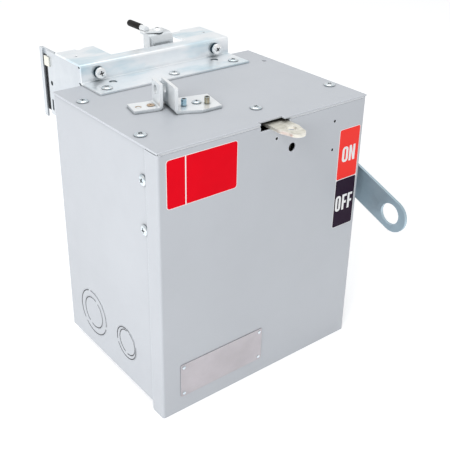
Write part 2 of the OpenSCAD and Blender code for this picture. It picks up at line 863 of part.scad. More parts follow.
module ear_screws() {
    color(zinc) box_frame() ear_frame() for (at = ear_screw_at)
        translate([at[0], at[1], ear_t]) dome_screw(ear_head_d, screw_head_h, screw_d, screw_len);
}

module ear_posts() {
    color(brass) box_frame() ear_frame() for (at = ear_post_at)
        translate([at[0], at[1], 0]) {
            cylinder(r = ear_post_r, h = ear_t);
            translate([0, 0, ear_t]) difference() {
                cylinder(d = post_d, h = post_h, $fn = 6);
                translate([0, 0, post_h / 2]) cylinder(d = post_d / 2, h = post_h);
            }
        }
}

// ---- Plug-in head ----

module head_bracket() {
    color(zinc) box_frame() difference() {
        union() {
            along_x(head_x, head_w) head_profile();
            translate([0, 0, arm_z]) linear_extrude(head_t) {
                left_arm();
                right_arm();
            }
        }
        for (x = foot_screw_x)
            bar_z(x, foot_screw_y, box_h - cut, screw_d / 2, head_t + 2 * cut);
        for (x = [head_x + foot_hole_in, head_x + head_w - foot_hole_in])
            bar_z(x, box_d - foot_hole_y, box_h - cut, foot_hole_r, head_t + 2 * cut);
        for (x = big_screw_x)
            bar_y(x, box_d - cut, big_screw_z, big_screw_d / 2 + hole_play, head_t + 2 * cut);
        for (x = [head_x + arm_hole_in, head_x + head_w - arm_hole_in])
            bar_z(x, box_d + arm_hole_y, arm_z - cut, arm_hole_r, head_t + 2 * cut);
    }
}

// Foot on the top panel, upright web and cross bar, bent from one strip
module head_profile() {
    foot_y = box_d - head_foot;
    translate([web_y, box_h]) mirror([1, 0])
        angle_profile(web_y - foot_y, head_rise - head_bend, head_t, head_bend);
    translate([box_d, arm_top]) mirror([0, 1])
        angle_profile(bar_d, head_rise - head_bend, head_t, head_bend);
}

module left_arm() {
    back = box_d + arm_reach;
    nick = 4.5;
    difference() {
        translate([head_x, box_d + bar_d - cut]) square([left_arm_w, arm_reach - bar_d + cut]);
        translate([head_x + left_arm_w / 2, back])
            polygon([[0, cut], [1, -nick], [3, -nick], [12, 0], [12, cut]]);
    }
}

module right_arm() {
    right = head_x + head_w;
    step = 4;
    difference() {
        translate([right - right_arm_w, box_d + bar_d - cut])
            square([right_arm_w, arm_reach - bar_d + cut]);
        translate([right - right_arm_w - cut, box_d + arm_reach - step])
            polygon([[0, 0], [15 + cut, 0], [15 + step + cut, step + cut], [0, step + cut]]);
    }
}

module bracket_screws() {
    color(zinc) box_frame() for (x = foot_screw_x)
        translate([x, foot_screw_y, box_h + head_t])
            dome_screw(screw_head_d, screw_head_h, screw_d, head_t + sheet + small_nut_h + screw_out);
}

module bracket_nuts() {
    color(zinc) box_frame() for (x = foot_screw_x)
        translate([x, foot_screw_y, panel_z - small_nut_h]) hex_nut(small_nut_w, small_nut_h, screw_d);
}

// Outline of a side plate from its lower front corner up behind the bends, in Y and Z
function side_front() = [
    [box_d + side_bend, side_low], [box_d + side_bend, box_h],
    [web_y + side_bend, box_h], [web_y + side_bend, arm_z]
];

// Foot and front flange shared by both side plates, drawn for the left one
module side_flanges() {
    translate([head_x, box_d, side_foot_z]) linear_extrude(side_foot_h)
        angle_profile(side_t + side_foot_w, side_bend + cut, side_t, side_bend);
    translate([head_x, web_y, box_h + 1]) linear_extrude(arm_z - box_h - 1 - side_t)
        angle_profile(side_t + side_front_w, side_bend + cut, side_t, side_bend);
}

module left_side_plate() {
    end = box_d + hook_reach;
    color(zinc) box_frame() difference() {
        union() {
            along_x(head_x, side_t) difference() {
                polygon(concat(side_front(), [
                    [end, arm_z], [end, side_low - hook_w], [end - hook_w, side_low - hook_w],
                    [end - hook_w, side_low]
                ]));
                translate([slot_front, side_low - hook_slot])
                    square([hook_slot, arm_z + cut - side_low + hook_slot]);
                translate([slot_front - 6.5, side_low + 35]) circle(2.5);
                translate([slot_front - 7, side_low + 5]) square([3.5, 12]);
            }
            // Bridge inside the plate that carries the hook past the open slot
            translate([head_x + side_t, slot_front - bridge_lap, arm_z - bridge_h])
                cube([side_t, end - slot_front + bridge_lap, bridge_h]);
            side_flanges();
        }
        bar_y(big_screw_x[0], box_d, big_screw_z, big_screw_d / 2 + hole_play, 20);
    }
}

module right_side_plate() {
    color(zinc) box_frame() difference() {
        translate([2 * head_cx, 0, 0]) mirror([1, 0, 0]) {
            along_x(head_x, side_t)
                polygon(concat(side_front(), [
                    [box_d + arm_reach - 1, arm_z], [box_d + arm_reach - 1, side_low]
                ]));
            side_flanges();
        }
        bar_y(big_screw_x[1], box_d, big_screw_z, big_screw_d / 2 + hole_play, 20);
    }
}

module head_screws() {
    color(zinc) box_frame() for (x = big_screw_x)
        translate([x, box_d, big_screw_z]) rotate([90, 0, 0]) {
            cylinder(d = big_head_d - 1, h = washer_t);
            translate([0, 0, washer_t])
                dome_screw(big_head_d, big_head_h, big_screw_d,
                    washer_t + head_t + side_t + big_nut_h + screw_out);
        }
}

module head_nuts() {
    color(zinc) box_frame() for (x = big_screw_x)
        translate([x, box_d + head_t + side_t, big_screw_z]) rotate([-90, 0, 0])
            hex_nut(big_nut_w, big_nut_h, big_screw_d);
}

module stab_block() {
    color(black) box_frame() difference() {
        translate([block_x, box_d, block_top - stab_block_h]) cube([block_w, stab_block_d, stab_block_h]);
        for (x = pole_x) {
            translate([x - copper_w / 2 - hole_play, box_d - cut, finger_z])
                cube([copper_w + 2 * hole_play, stab_block_d + 2 * cut, strap_z + copper_t - finger_z]);
            bar_z(x, stab_bolt_y, block_top - stab_block_h - cut, bolt_access_r, stab_block_h + 2 * cut);
        }
    }
}

// Lower spring finger of each stab fork; the line strap is the upper one
module stab_fingers() {
    heel_y = stab_bolt_y - 8;
    bend_y = stab_bolt_y + 9;
    color(tinned) box_frame() for (x = pole_x) difference() {
        along_x(x - copper_w / 2, copper_w)
            polygon([
                [heel_y, strap_z], [bend_y + 1, strap_z], [bend_y + 7, finger_z + copper_t],
                [stab_end - 5, finger_z + copper_t], [stab_end, finger_z], [stab_end - 1, finger_z - 2],
                [stab_end - 6, finger_z], [bend_y + 6, finger_z], [bend_y, strap_z - copper_t],
                [heel_y, strap_z - copper_t]
            ]);
        bar_z(x, stab_bolt_y, finger_z, stab_bolt_r, strap_z);
    }
}

module stab_bolts() {
    nut_w = 3 * stab_bolt_r;
    nut_h = 3.5;
    head_d = nut_w / cos(30);
    head_h = 3;
    low = strap_z - copper_t - nut_h - 1.5;
    color(zinc) box_frame() for (x = pole_x) {
        bar_z(x, stab_bolt_y, low, stab_bolt_r, strap_z + copper_t - low);
        translate([x, stab_bolt_y, strap_z + copper_t]) cylinder(d = head_d, h = head_h, $fn = 6);
        translate([x, stab_bolt_y, strap_z - copper_t - nut_h]) hex_nut(nut_w, nut_h, 2 * stab_bolt_r);
    }
}

module hook_liner() {
    liner_t = 4.5;
    front = box_d + arm_reach + 7;
    low = side_low + 2;
    color(black) box_frame()
        translate([head_x + side_t, front, low])
            cube([liner_t, box_d + hook_reach - 1 - front, arm_z - bridge_h - sheet_gap - low]);
}

module ground_clip() {
    face = [1.5, 10, 10];
    lap = 6;
    low = arm_z - bridge_h - face[2];
    color(brass) box_frame() {
        translate([head_x - face[0], slot_front - lap, low]) cube(face);
        translate([head_x - face[0] / 2, slot_front + sheet_gap, low + 1])
            cube([side_t + face[0] / 2, face[1] - lap - sheet_gap, face[2] - 2]);
    }
}

// ---- Busway clamp ----

// Block with the clamp bracket's two round bends, shrunk on all sides but the right and the back
module clamp_form(inset) {
    depth = clamp_back - clamp_front;
    height = clamp_top - block_top;
    intersection() {
        translate([clamp_x0 + inset, clamp_front + inset, block_top + inset])
            linear_extrude(height - 2 * inset)
                rounded_base(clamp_w, depth, clamp_corner - inset, false);
        along_x(clamp_x0 + inset, clamp_w)
            translate([clamp_front + inset, clamp_top - inset]) mirror([0, 1])
                rounded_base(depth, height, clamp_bend - inset, false);
    }
}

// Folded from one sheet: base, web, top and the side wall under the lever
module clamp_bracket() {
    base_top = block_top + clamp_t;
    wall_low = dog_z + dog_t + dog_play;
    wall_back = clamp_front + clamp_wall_d;
    color(zinc) box_frame() difference() {
        clamp_form(0);
        clamp_form(clamp_t);
        // Way out for the dog
        translate([clamp_x0 - cut, clamp_front + clamp_corner, base_top])
            cube([clamp_t + 2 * cut, clamp_back - clamp_front, wall_low - base_top]);
        translate([clamp_x0 - cut, wall_back, base_top])
            cube([clamp_t + 2 * cut, clamp_back, clamp_top - clamp_t - base_top]);
        for (z = [block_top, clamp_top - clamp_t])
            bar_z(clamp_x, clamp_cy, z - cut, clamp_shaft_r + pin_play, clamp_t + 2 * cut);
    }
}

module clamp_lever() {
    color(zinc) box_frame() translate([clamp_x, clamp_cy, 0]) difference() {
        union() {
            translate([0, 0, lever_z]) linear_extrude(lever_t) {
                circle(lever_r);
                polygon([
                    [0, -lever_r], [-lever_side - neck_r, 0], [-lever_side - neck_r, neck_y],
                    [-lever_side + neck_r, neck_y], [0, lever_r]
                ]);
            }
            // Socket of the rod, rolled from the end of the lever
            bar_y(-lever_side, 1, rod_z, neck_r, neck_end - 1);
            bar_y(-lever_side, rod_start, rod_z, rod_r, rod_end - rod_start);
        }
        bar_z(0, 0, lever_z - cut, clamp_shaft_r, lever_t + 2 * cut);
    }
}

module clamp_grip() {
    color(black) box_frame() translate([clamp_x - lever_side, clamp_cy, rod_z]) difference() {
        union() {
            bar_y(0, grip_start, 0, grip_r, grip_len - grip_r);
            translate([0, grip_start + grip_len - grip_r, 0]) sphere(grip_r);
        }
        bar_y(0, rod_start, 0, rod_r, rod_end - rod_start);
    }
}

module clamp_shaft() {
    color(zinc) box_frame() translate([clamp_x, clamp_cy, lever_z + lever_t])
        dome_screw(2.6 * clamp_shaft_r, 2.4, 2 * clamp_shaft_r, lever_z + lever_t - block_top - sheet_gap);
}

module clamp_dog() {
    hub_r = clamp_cy - clamp_front - clamp_t - 0.5;
    color(zinc) box_frame() translate([clamp_x, clamp_cy, dog_z]) linear_extrude(dog_t) difference() {
        union() {
            circle(hub_r);
            translate([-dog_len + dog_w / 2, -dog_w / 2]) square([dog_len - dog_w / 2, dog_w]);
            translate([-dog_len + dog_w / 2, 0]) circle(d = dog_w);
        }
        circle(clamp_shaft_r);
    }
}

// ---- Operating handle and its shaft ----

// Turns a shape drawn level and forward of the shaft down to the off position.
module at_off() {
    translate([0, shaft_y, shaft_z]) rotate([handle_angle, 0, 0]) children();
}

module operating_handle() {
    end = handle_reach + hook_hole_d / 2 + hook_rim - handle_w / 2;
    color(dull_zinc) box_frame() at_off() difference() {
        along_x(handle_x, handle_t) {
            circle(handle_w / 2);
            translate([-end, -handle_w / 2]) square([end, handle_w]);
            translate([-end, 0]) circle(handle_w / 2);
        }
        bar_x(handle_x - cut, -handle_reach, 0, hook_hole_d / 2, handle_t + 2 * cut);
        translate([handle_x - cut, -drive_sq / 2, -drive_sq / 2])
            cube([handle_t + 2 * cut, drive_sq, drive_sq]);
    }
}

module operating_shaft() {
    inner = pole_x[2] + pole_pitch / 2 - bar_socket;
    shoulder_x = box_w + flange_t - wall_x + 0.6;
    color(zinc) box_frame() at_off() {
        bar_x(inner, 0, 0, shaft_r, handle_x - inner);
        // Shoulder between the bushing and the lever
        bar_x(shoulder_x, 0, 0, shaft_r + 3, handle_x - shoulder_x);
        translate([handle_x, -drive_sq / 2, -drive_sq / 2]) cube([handle_t, drive_sq, drive_sq]);
        bar_x(handle_x + handle_t, 0, 0, stud_r, lever_washer_t + nut_t + 3);
    }
}

module handle_washer() {
    color(zinc) box_frame() at_off() difference() {
        bar_x(handle_x + handle_t, 0, 0, 9.5, lever_washer_t);
        bar_x(handle_x, 0, 0, stud_r, handle_t + nut_t);
    }
}

module handle_nut() {
    color(zinc) box_frame() at_off()
        translate([handle_x + handle_t + lever_washer_t, 0, 0]) rotate([0, 90, 0])
            hex_nut(13, nut_t, 2 * stud_r);
}

module shaft_bushing() {
    inner_len = 9;
    wall = box_w - wall_x;
    color(brass) box_frame() difference() {
        union() {
            bar_x(wall, shaft_y, shaft_z, shaft_r + 9, flange_t);
            bar_x(wall - inner_len, shaft_y, shaft_z, shaft_r + bushing_wall, inner_len);
        }
        bar_x(wall - inner_len - cut, shaft_y, shaft_z, shaft_r + pin_play, inner_len + flange_t + 2 * cut);
    }
}

module pivot_stub() {
    left = base_x - plate_t - stub_out;
    color(zinc) box_frame()
        bar_x(left, shaft_y, shaft_z, shaft_r, pole_x[0] - pole_pitch / 2 + bar_socket - left);
}

// ---- Switch ----

module crossbar() {
    left = pole_x[0] - pole_pitch / 2;
    color(phenolic) box_frame() difference() {
        bar_x(left, shaft_y, shaft_z, crossbar_r, 3 * pole_pitch);
        bar_x(left - cut, shaft_y, shaft_z, shaft_r, bar_socket + cut);
        at_off() bar_x(left + 3 * pole_pitch - bar_socket, 0, 0, shaft_r, bar_socket + cut);
        blade_set(0);
    }
}

// Blades through the crossbar, leaning back from the jaws in the off position
module blade_set(play) {
    translate([0, shaft_y, shaft_z]) rotate([swing, 0, 0]) for (x = pole_x)
        along_x(x - copper_t / 2 - play, copper_t + 2 * play) {
            square([copper_w, 2 * blade_reach - copper_w], center = true);
            for (side = [-1, 1]) translate([0, side * (blade_reach - copper_w / 2)]) circle(copper_w / 2);
        }
}

module switch_blades() {
    color(copper) box_frame() blade_set(0);
}

module crank_arm() {
    color(zinc) box_frame() translate([0, shaft_y, shaft_z]) rotate([handle_angle, 0, 0]) difference() {
        union() {
            along_x(crank_x, crank_t) {
                circle(shaft_r + 4);
                translate([0, -crank_w / 2]) square([crank_r, crank_w]);
                translate([crank_r, 0]) circle(crank_w / 2);
            }
            bar_x(crank_x, crank_r, 0, mech_pin_r, pin_end - crank_x);
        }
        bar_x(0, 0, 0, shaft_r, box_w);
    }
}

// Frame of the spring link at rest: origin on its fixed pivot, +Y points away from the crank pin.
module link_frame() {
    translate([0, shaft_y + link_reach, shaft_z]) rotate([-link_angle, 0, 0]) children();
}

module spring_link() {
    slot_r = mech_pin_r + slot_play;
    slot_from = link_short - 0.4;
    slot_to = link_long + 0.4;
    head = slot_r + 4;
    color(zinc) box_frame() link_frame() difference() {
        along_x(link_x, link_t) {
            circle(mech_pin_r + 4);
            translate([-slot_from, -spring_d * 0.22]) square([slot_from, spring_d * 0.44]);
            translate([-mech_pin_r - 8, -spring_d / 2 - 1]) square([2.5, spring_d + 2]);
            translate([-slot_to, -head]) square([slot_to - slot_from + head - 0.5, 2 * head]);
            translate([-slot_to, 0]) circle(head);
        }
        bar_x(link_x - cut, 0, 0, mech_pin_r + pin_play, link_t + 2 * cut);
        for (u = [slot_from, slot_to])
            bar_x(link_x - cut, -u, 0, slot_r, link_t + 2 * cut);
        translate([link_x - cut, -slot_to, -slot_r])
            cube([link_t + 2 * cut, slot_to - slot_from, 2 * slot_r]);
    }
}

// Round wire wound along the spring link
module toggle_spring() {
    turns = 6;
    sides = 8;
    steps = 14;
    r = (spring_d - spring_wire) / 2;
    wire_r = spring_wire / 2;
    start = mech_pin_r + 8 + wire_r;
    stop = link_short - 0.4 - mech_pin_r - slot_play - 4 + 0.5 - wire_r;
    n = turns * steps;
    rings = [for (i = [0 : n], j = [0 : sides - 1])
        let (a = 360 * i / steps, b = 360 * j / sides, d = r + wire_r * cos(b))
        [d * cos(a), -start - (stop - start) * i / n + wire_r * sin(b), d * sin(a)]];
    skin = [for (i = [0 : n - 1], j = [0 : sides - 1])
        [i * sides + j, i * sides + (j + 1) % sides, (i + 1) * sides + (j + 1) % sides, (i + 1) * sides + j]];
    color(zinc) box_frame() link_frame() translate([link_x + link_t / 2, 0, 0])
        polyhedron(rings, concat(skin,
            [[for (j = [sides - 1 : -1 : 0]) j], [for (j = [0 : sides - 1]) n * sides + j]]));
}

module link_pin() {
    pin_y = shaft_y + link_reach;
    color(zinc) box_frame() {
        bar_x(plate_x + plate_t, pin_y, shaft_z, mech_pin_r + 2, link_x - sheet_gap - plate_x - plate_t);
        bar_x(plate_x, pin_y, shaft_z, mech_pin_r, pin_end - plate_x);
    }
}

module stop_pins() {
    color(zinc) box_frame() for (side = [-1, 1])
        bar_x(plate_x, shaft_y + stop_at * cos(stop_turn), shaft_z + side * stop_at * sin(stop_turn),
            stop_r, crank_x + crank_t - plate_x);
}

// Side plate of the switch, with its shaft bearing ahead of the insulating base; drawn in Y and Z
module plate_outline() {
    back = base_y + base_t;
    high = shaft_z + plate_up;
    low = shaft_z - plate_down;
    polygon([
        [back, low], [back, high], [base_y, high], [shaft_y, shaft_z + bearing_nose],
        [shaft_y, shaft_z - bearing_nose], [base_y, low]
    ]);
    translate([shaft_y, shaft_z]) circle(bearing_nose);
}

module bearing_plate() {
    color(zinc) box_frame() difference() {
        along_x(base_x - plate_t, plate_t) plate_outline();
        bar_x(0, shaft_y, shaft_z, shaft_r + pin_play, base_x + cut);
    }
}

module mechanism_plate() {
    color(zinc) box_frame() difference() {
        along_x(plate_x, plate_t) plate_outline();
        bar_x(plate_x - cut, shaft_y, shaft_z, shaft_r + pin_play, plate_t + 2 * cut);
        bar_x(plate_x - cut, shaft_y + link_reach, shaft_z, mech_pin_r, plate_t + 2 * cut);
        for (side = [-1, 1])
            bar_x(plate_x - cut, shaft_y + stop_at * cos(stop_turn),
                shaft_z + side * stop_at * sin(stop_turn), stop_r, plate_t + 2 * cut);
    }
}

module switch_base() {
    pocket = [24, base_t - 6, strap_z - base_low - 34];
    color(phenolic) box_frame() difference() {
        union() {
            translate([base_x, base_y, base_low]) cube([base_w, base_t, strap_z - base_low]);
            for (x = [base_x + post_in, base_x + base_w - post_in])
                bar_y(x, base_y + base_t - cut, base_low + 26, post_r, back_in - base_y - base_t + cut);
        }
        // Pockets behind the poles lighten the moulding
        for (x = pole_x)
            translate([x - pocket[0] / 2, base_y + base_t - pocket[1], base_low + post_in])
                cube([pocket[0], pocket[1] + cut, pocket[2]]);
        for (i = [0, 1])
            translate([pole_x[i] + (pole_pitch - barrier_t) / 2, base_y - cut, base_low - cut])
                cube([barrier_t, groove_d + cut, strap_z - base_low + 2 * cut]);
    }
}

// Sheets between the poles; their front upper corners clear the leg of the cover latch
module phase_barriers() {
    front = barrier_front;
    step_z = latch_leg_end - 4;
    step_y = flange_d + latch_leg_t + 8;
    color(fibre) box_frame() for (i = [0, 1]) difference() {
        along_x(pole_x[i] + (pole_pitch - barrier_t) / 2, barrier_t)
            polygon([
                [front, base_low], [front, step_z], [step_y, step_z], [step_y, strap_z],
                [base_y + groove_d, strap_z], [base_y + groove_d, base_low]
            ]);
        bar_x(0, shaft_y, shaft_z, crossbar_r + 1.5, box_w);
    }
}

// Two fingers that a blade enters; the foot side is at the given level.
module jaw_fingers(x, z, height) {
    for (side = [-1, 1])
        translate([x + side * (jaw_off + finger_t / 2) - finger_t / 2, shaft_y - copper_w / 2, z])
            cube([finger_t, copper_w, height]);
}

module line_straps() {
    color(copper) box_frame() for (x = pole_x) difference() {
        union() {
            jaw_fingers(x, strap_z - jaw_h - jaw_rise, jaw_h + jaw_rise);
            translate([x - copper_w / 2, shaft_y - copper_w / 2, strap_z])
                cube([copper_w, stab_end - 5 - shaft_y + copper_w / 2, copper_t]);
            along_x(x - copper_w / 2, copper_w)
                polygon([
                    [stab_end - 5, strap_z], [stab_end - 5, strap_z + copper_t],
                    [stab_end - 1, strap_z + copper_t + 2], [stab_end, strap_z + copper_t]
                ]);
        }
        bar_z(x, stab_bolt_y, strap_z - cut, stab_bolt_r, copper_t + 2 * cut);
    }
}

module load_straps() {
    color(copper) box_frame() for (x = pole_x) {
        jaw_fingers(x, load_z, jaw_h + jaw_rise);
        translate([x - copper_w / 2, shaft_y - copper_w / 2, load_z - copper_t])
            cube([copper_w, fuse_base_y - shaft_y + copper_w / 2, copper_t]);
        translate([x - copper_w / 2, clip_y, clip_z[1] - 2])
            cube([copper_w, copper_t, load_z - copper_t - clip_z[1] + 2]);
    }
}

// ---- Fuses and load terminals ----

module fuse_base() {
    groove_w = 6;
    low = lug_z;
    post_y = fuse_base_y + fuse_base_d;
    color(phenolic) box_frame() {
        difference() {
            translate([base_x, fuse_base_y, low]) cube([base_w, fuse_base_d, load_z - low]);
            for (i = [0, 1])
                translate([pole_x[i] + (pole_pitch - groove_w) / 2, fuse_base_y - cut, low - cut])
                    cube([groove_w, groove_d + cut, load_z - low + 2 * cut]);
        }
        for (x = [base_x + post_in, base_x + base_w - post_in], z = [low + post_in, load_z - post_in])
            bar_y(x, post_y - sheet, z, post_r, back_in - post_y + sheet);
    }
}

module fuse_clips() {
    inner = fuse_d / 2 + 0.05;
    mouth = 55;
    color(tinned) box_frame() for (x = pole_x, z = clip_z)
        translate([x, fuse_y, z]) linear_extrude(clip_w) {
            difference() {
                circle(inner + clip_t);
                circle(inner);
                polygon([[0, 0], [-fuse_d * tan(mouth), -fuse_d], [fuse_d * tan(mouth), -fuse_d]]);
            }
            difference() {
                translate([-5, inner + clip_t - 2]) square([10, clip_y - fuse_y - inner - clip_t + 2]);
                circle(inner);
            }
        }
}

module fuse_tubes() {
    color([0.9, 0.88, 0.8]) box_frame() for (x = pole_x)
        bar_z(x, fuse_y, fuse_z + ferrule_len, fuse_d / 2 - 0.4, fuse_len - 2 * ferrule_len);
}

module fuse_ferrules() {
    color(brass) box_frame() for (x = pole_x, z = [fuse_z, fuse_z + fuse_len - ferrule_len])
        bar_z(x, fuse_y, z, fuse_d / 2, ferrule_len);
}

module lower_terminals() {
    top = clip_z[0] + clip_w + 2;
    color(copper) box_frame() for (x = pole_x)
        translate([x - copper_w / 2, clip_y, lug_z]) cube([copper_w, copper_t, top - lug_z]);
}

module load_lugs() {
    color(tinned) box_frame() for (x = pole_x) difference() {
        translate([x - lug[0] / 2, clip_y - lug[1], lug_z]) cube(lug);
        bar_z(x, clip_y - lug[1] / 2 + 1, lug_z - cut, wire_d / 2, lug[2] + 2 * cut);
        bar_y(x, clip_y - lug[1] - cut, lug_z + lug[2] / 2, lug_screw_r, lug_wall + 2 * cut);
    }
}

module lug_screws() {
    color(zinc) box_frame() for (x = pole_x)
        translate([x, clip_y - lug[1] - 3, lug_z + lug[2] / 2]) rotate([-90, 0, 0]) difference() {
            cylinder(r = lug_screw_r, h = lug_wall + 2.5);
            translate([0, 0, -cut]) cylinder(d = 3.4, h = 3 + cut, $fn = 6);
        }
}

enclosure_body();
top_panel();
cover();
hinge_body_leaf();
hinge_cover_leaf();
hinge_pin();
side_stiffeners();
side_screws();
top_screws();
cover_latch();
latch_screw();
latch_spacer();
latch_nut();
padlock_ear_left();
padlock_ear_right();
ear_screws();
ear_posts();
head_bracket();
bracket_screws();
bracket_nuts();
left_side_plate();
right_side_plate();
head_screws();
head_nuts();
stab_block();
stab_fingers();
stab_bolts();
hook_liner();
ground_clip();
clamp_bracket();
clamp_lever();
clamp_grip();
clamp_shaft();
clamp_dog();
operating_handle();
handle_washer();
handle_nut();
shaft_bushing();
operating_shaft();
pivot_stub();
crossbar();
switch_blades();
crank_arm();
spring_link();
toggle_spring();
link_pin();
stop_pins();
bearing_plate();
mechanism_plate();
switch_base();
phase_barriers();
line_straps();
load_straps();
fuse_base();
fuse_clips();
fuse_tubes();
fuse_ferrules();
lower_terminals();
load_lugs();
lug_screws();
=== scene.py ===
import math

import bmesh
import bpy
from mathutils import Matrix, Vector


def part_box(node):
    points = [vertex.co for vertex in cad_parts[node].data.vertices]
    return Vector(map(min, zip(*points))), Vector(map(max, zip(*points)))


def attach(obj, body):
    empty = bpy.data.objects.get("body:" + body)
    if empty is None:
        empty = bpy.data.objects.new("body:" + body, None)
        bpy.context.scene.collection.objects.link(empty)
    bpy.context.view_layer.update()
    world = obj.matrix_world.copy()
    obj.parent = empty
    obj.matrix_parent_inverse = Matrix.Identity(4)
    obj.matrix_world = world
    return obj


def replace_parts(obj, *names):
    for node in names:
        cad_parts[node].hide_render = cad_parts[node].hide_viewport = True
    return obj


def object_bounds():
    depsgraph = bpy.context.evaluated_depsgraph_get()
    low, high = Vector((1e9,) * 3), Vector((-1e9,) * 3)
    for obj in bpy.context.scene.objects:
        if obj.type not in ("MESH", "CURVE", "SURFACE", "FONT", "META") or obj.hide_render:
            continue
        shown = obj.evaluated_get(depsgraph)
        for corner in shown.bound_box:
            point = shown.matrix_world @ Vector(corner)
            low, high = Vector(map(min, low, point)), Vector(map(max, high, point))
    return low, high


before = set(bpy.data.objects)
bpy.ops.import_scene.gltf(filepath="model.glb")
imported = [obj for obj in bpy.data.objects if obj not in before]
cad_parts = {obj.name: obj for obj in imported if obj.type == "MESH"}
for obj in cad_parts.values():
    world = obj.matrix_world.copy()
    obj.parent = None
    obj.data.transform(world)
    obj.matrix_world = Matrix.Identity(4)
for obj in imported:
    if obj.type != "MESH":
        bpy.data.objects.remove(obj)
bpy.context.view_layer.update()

MM = 0.001
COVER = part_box("cover")
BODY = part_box("enclosure_body")
# Height of the box over its underside and depth behind the cover's face, in mm
BOX_H = round((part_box("top_panel")[1].z - BODY[0].z) / MM, 3)
BOX_D = round((BODY[1].y - COVER[0].y) / MM, 3)


def at(x, y, z):
    """A point given in mm from the cover's left edge, the cover's face and the underside of the body."""
    return Vector((COVER[0].x + x * MM, COVER[0].y + y * MM, BODY[0].z + z * MM))


# ---- Camera ----

AZIMUTH, ELEVATION, ROLL = -38.34, 27.41, 1.0
CAMERA_PLACE = (-304.2, -472.0, 514.9)
FRAME_PX = 450
FOCAL_PX = 782.2
SENSOR = 36


def camera():
    """Stands in front of the cover's left edge and looks down on the box."""
    az, el, roll = math.radians(AZIMUTH), math.radians(ELEVATION), math.radians(ROLL)
    look = Vector((-math.sin(az) * math.cos(el), math.cos(az) * math.cos(el), -math.sin(el)))
    side = Vector((math.cos(az), math.sin(az), 0))
    up = side.cross(look)
    right = side * math.cos(roll) + up * math.sin(roll)
    top = up * math.cos(roll) - side * math.sin(roll)
    data = bpy.data.cameras.new("camera")
    data.sensor_width = SENSOR
    data.lens = FOCAL_PX / FRAME_PX * SENSOR
    data.shift_y = -0.05
    data.clip_start, data.clip_end = 0.05, 20
    cam = bpy.data.objects.new("camera", data)
    cam.matrix_world = Matrix((
        (right.x, top.x, -look.x, 0),
        (right.y, top.y, -look.y, 0),
        (right.z, top.z, -look.z, 0),
        (0, 0, 0, 1)))
    cam.location = at(*CAMERA_PLACE)
    bpy.context.scene.collection.objects.link(cam)
    bpy.context.scene.camera = cam


camera()


# ---- Node materials ----

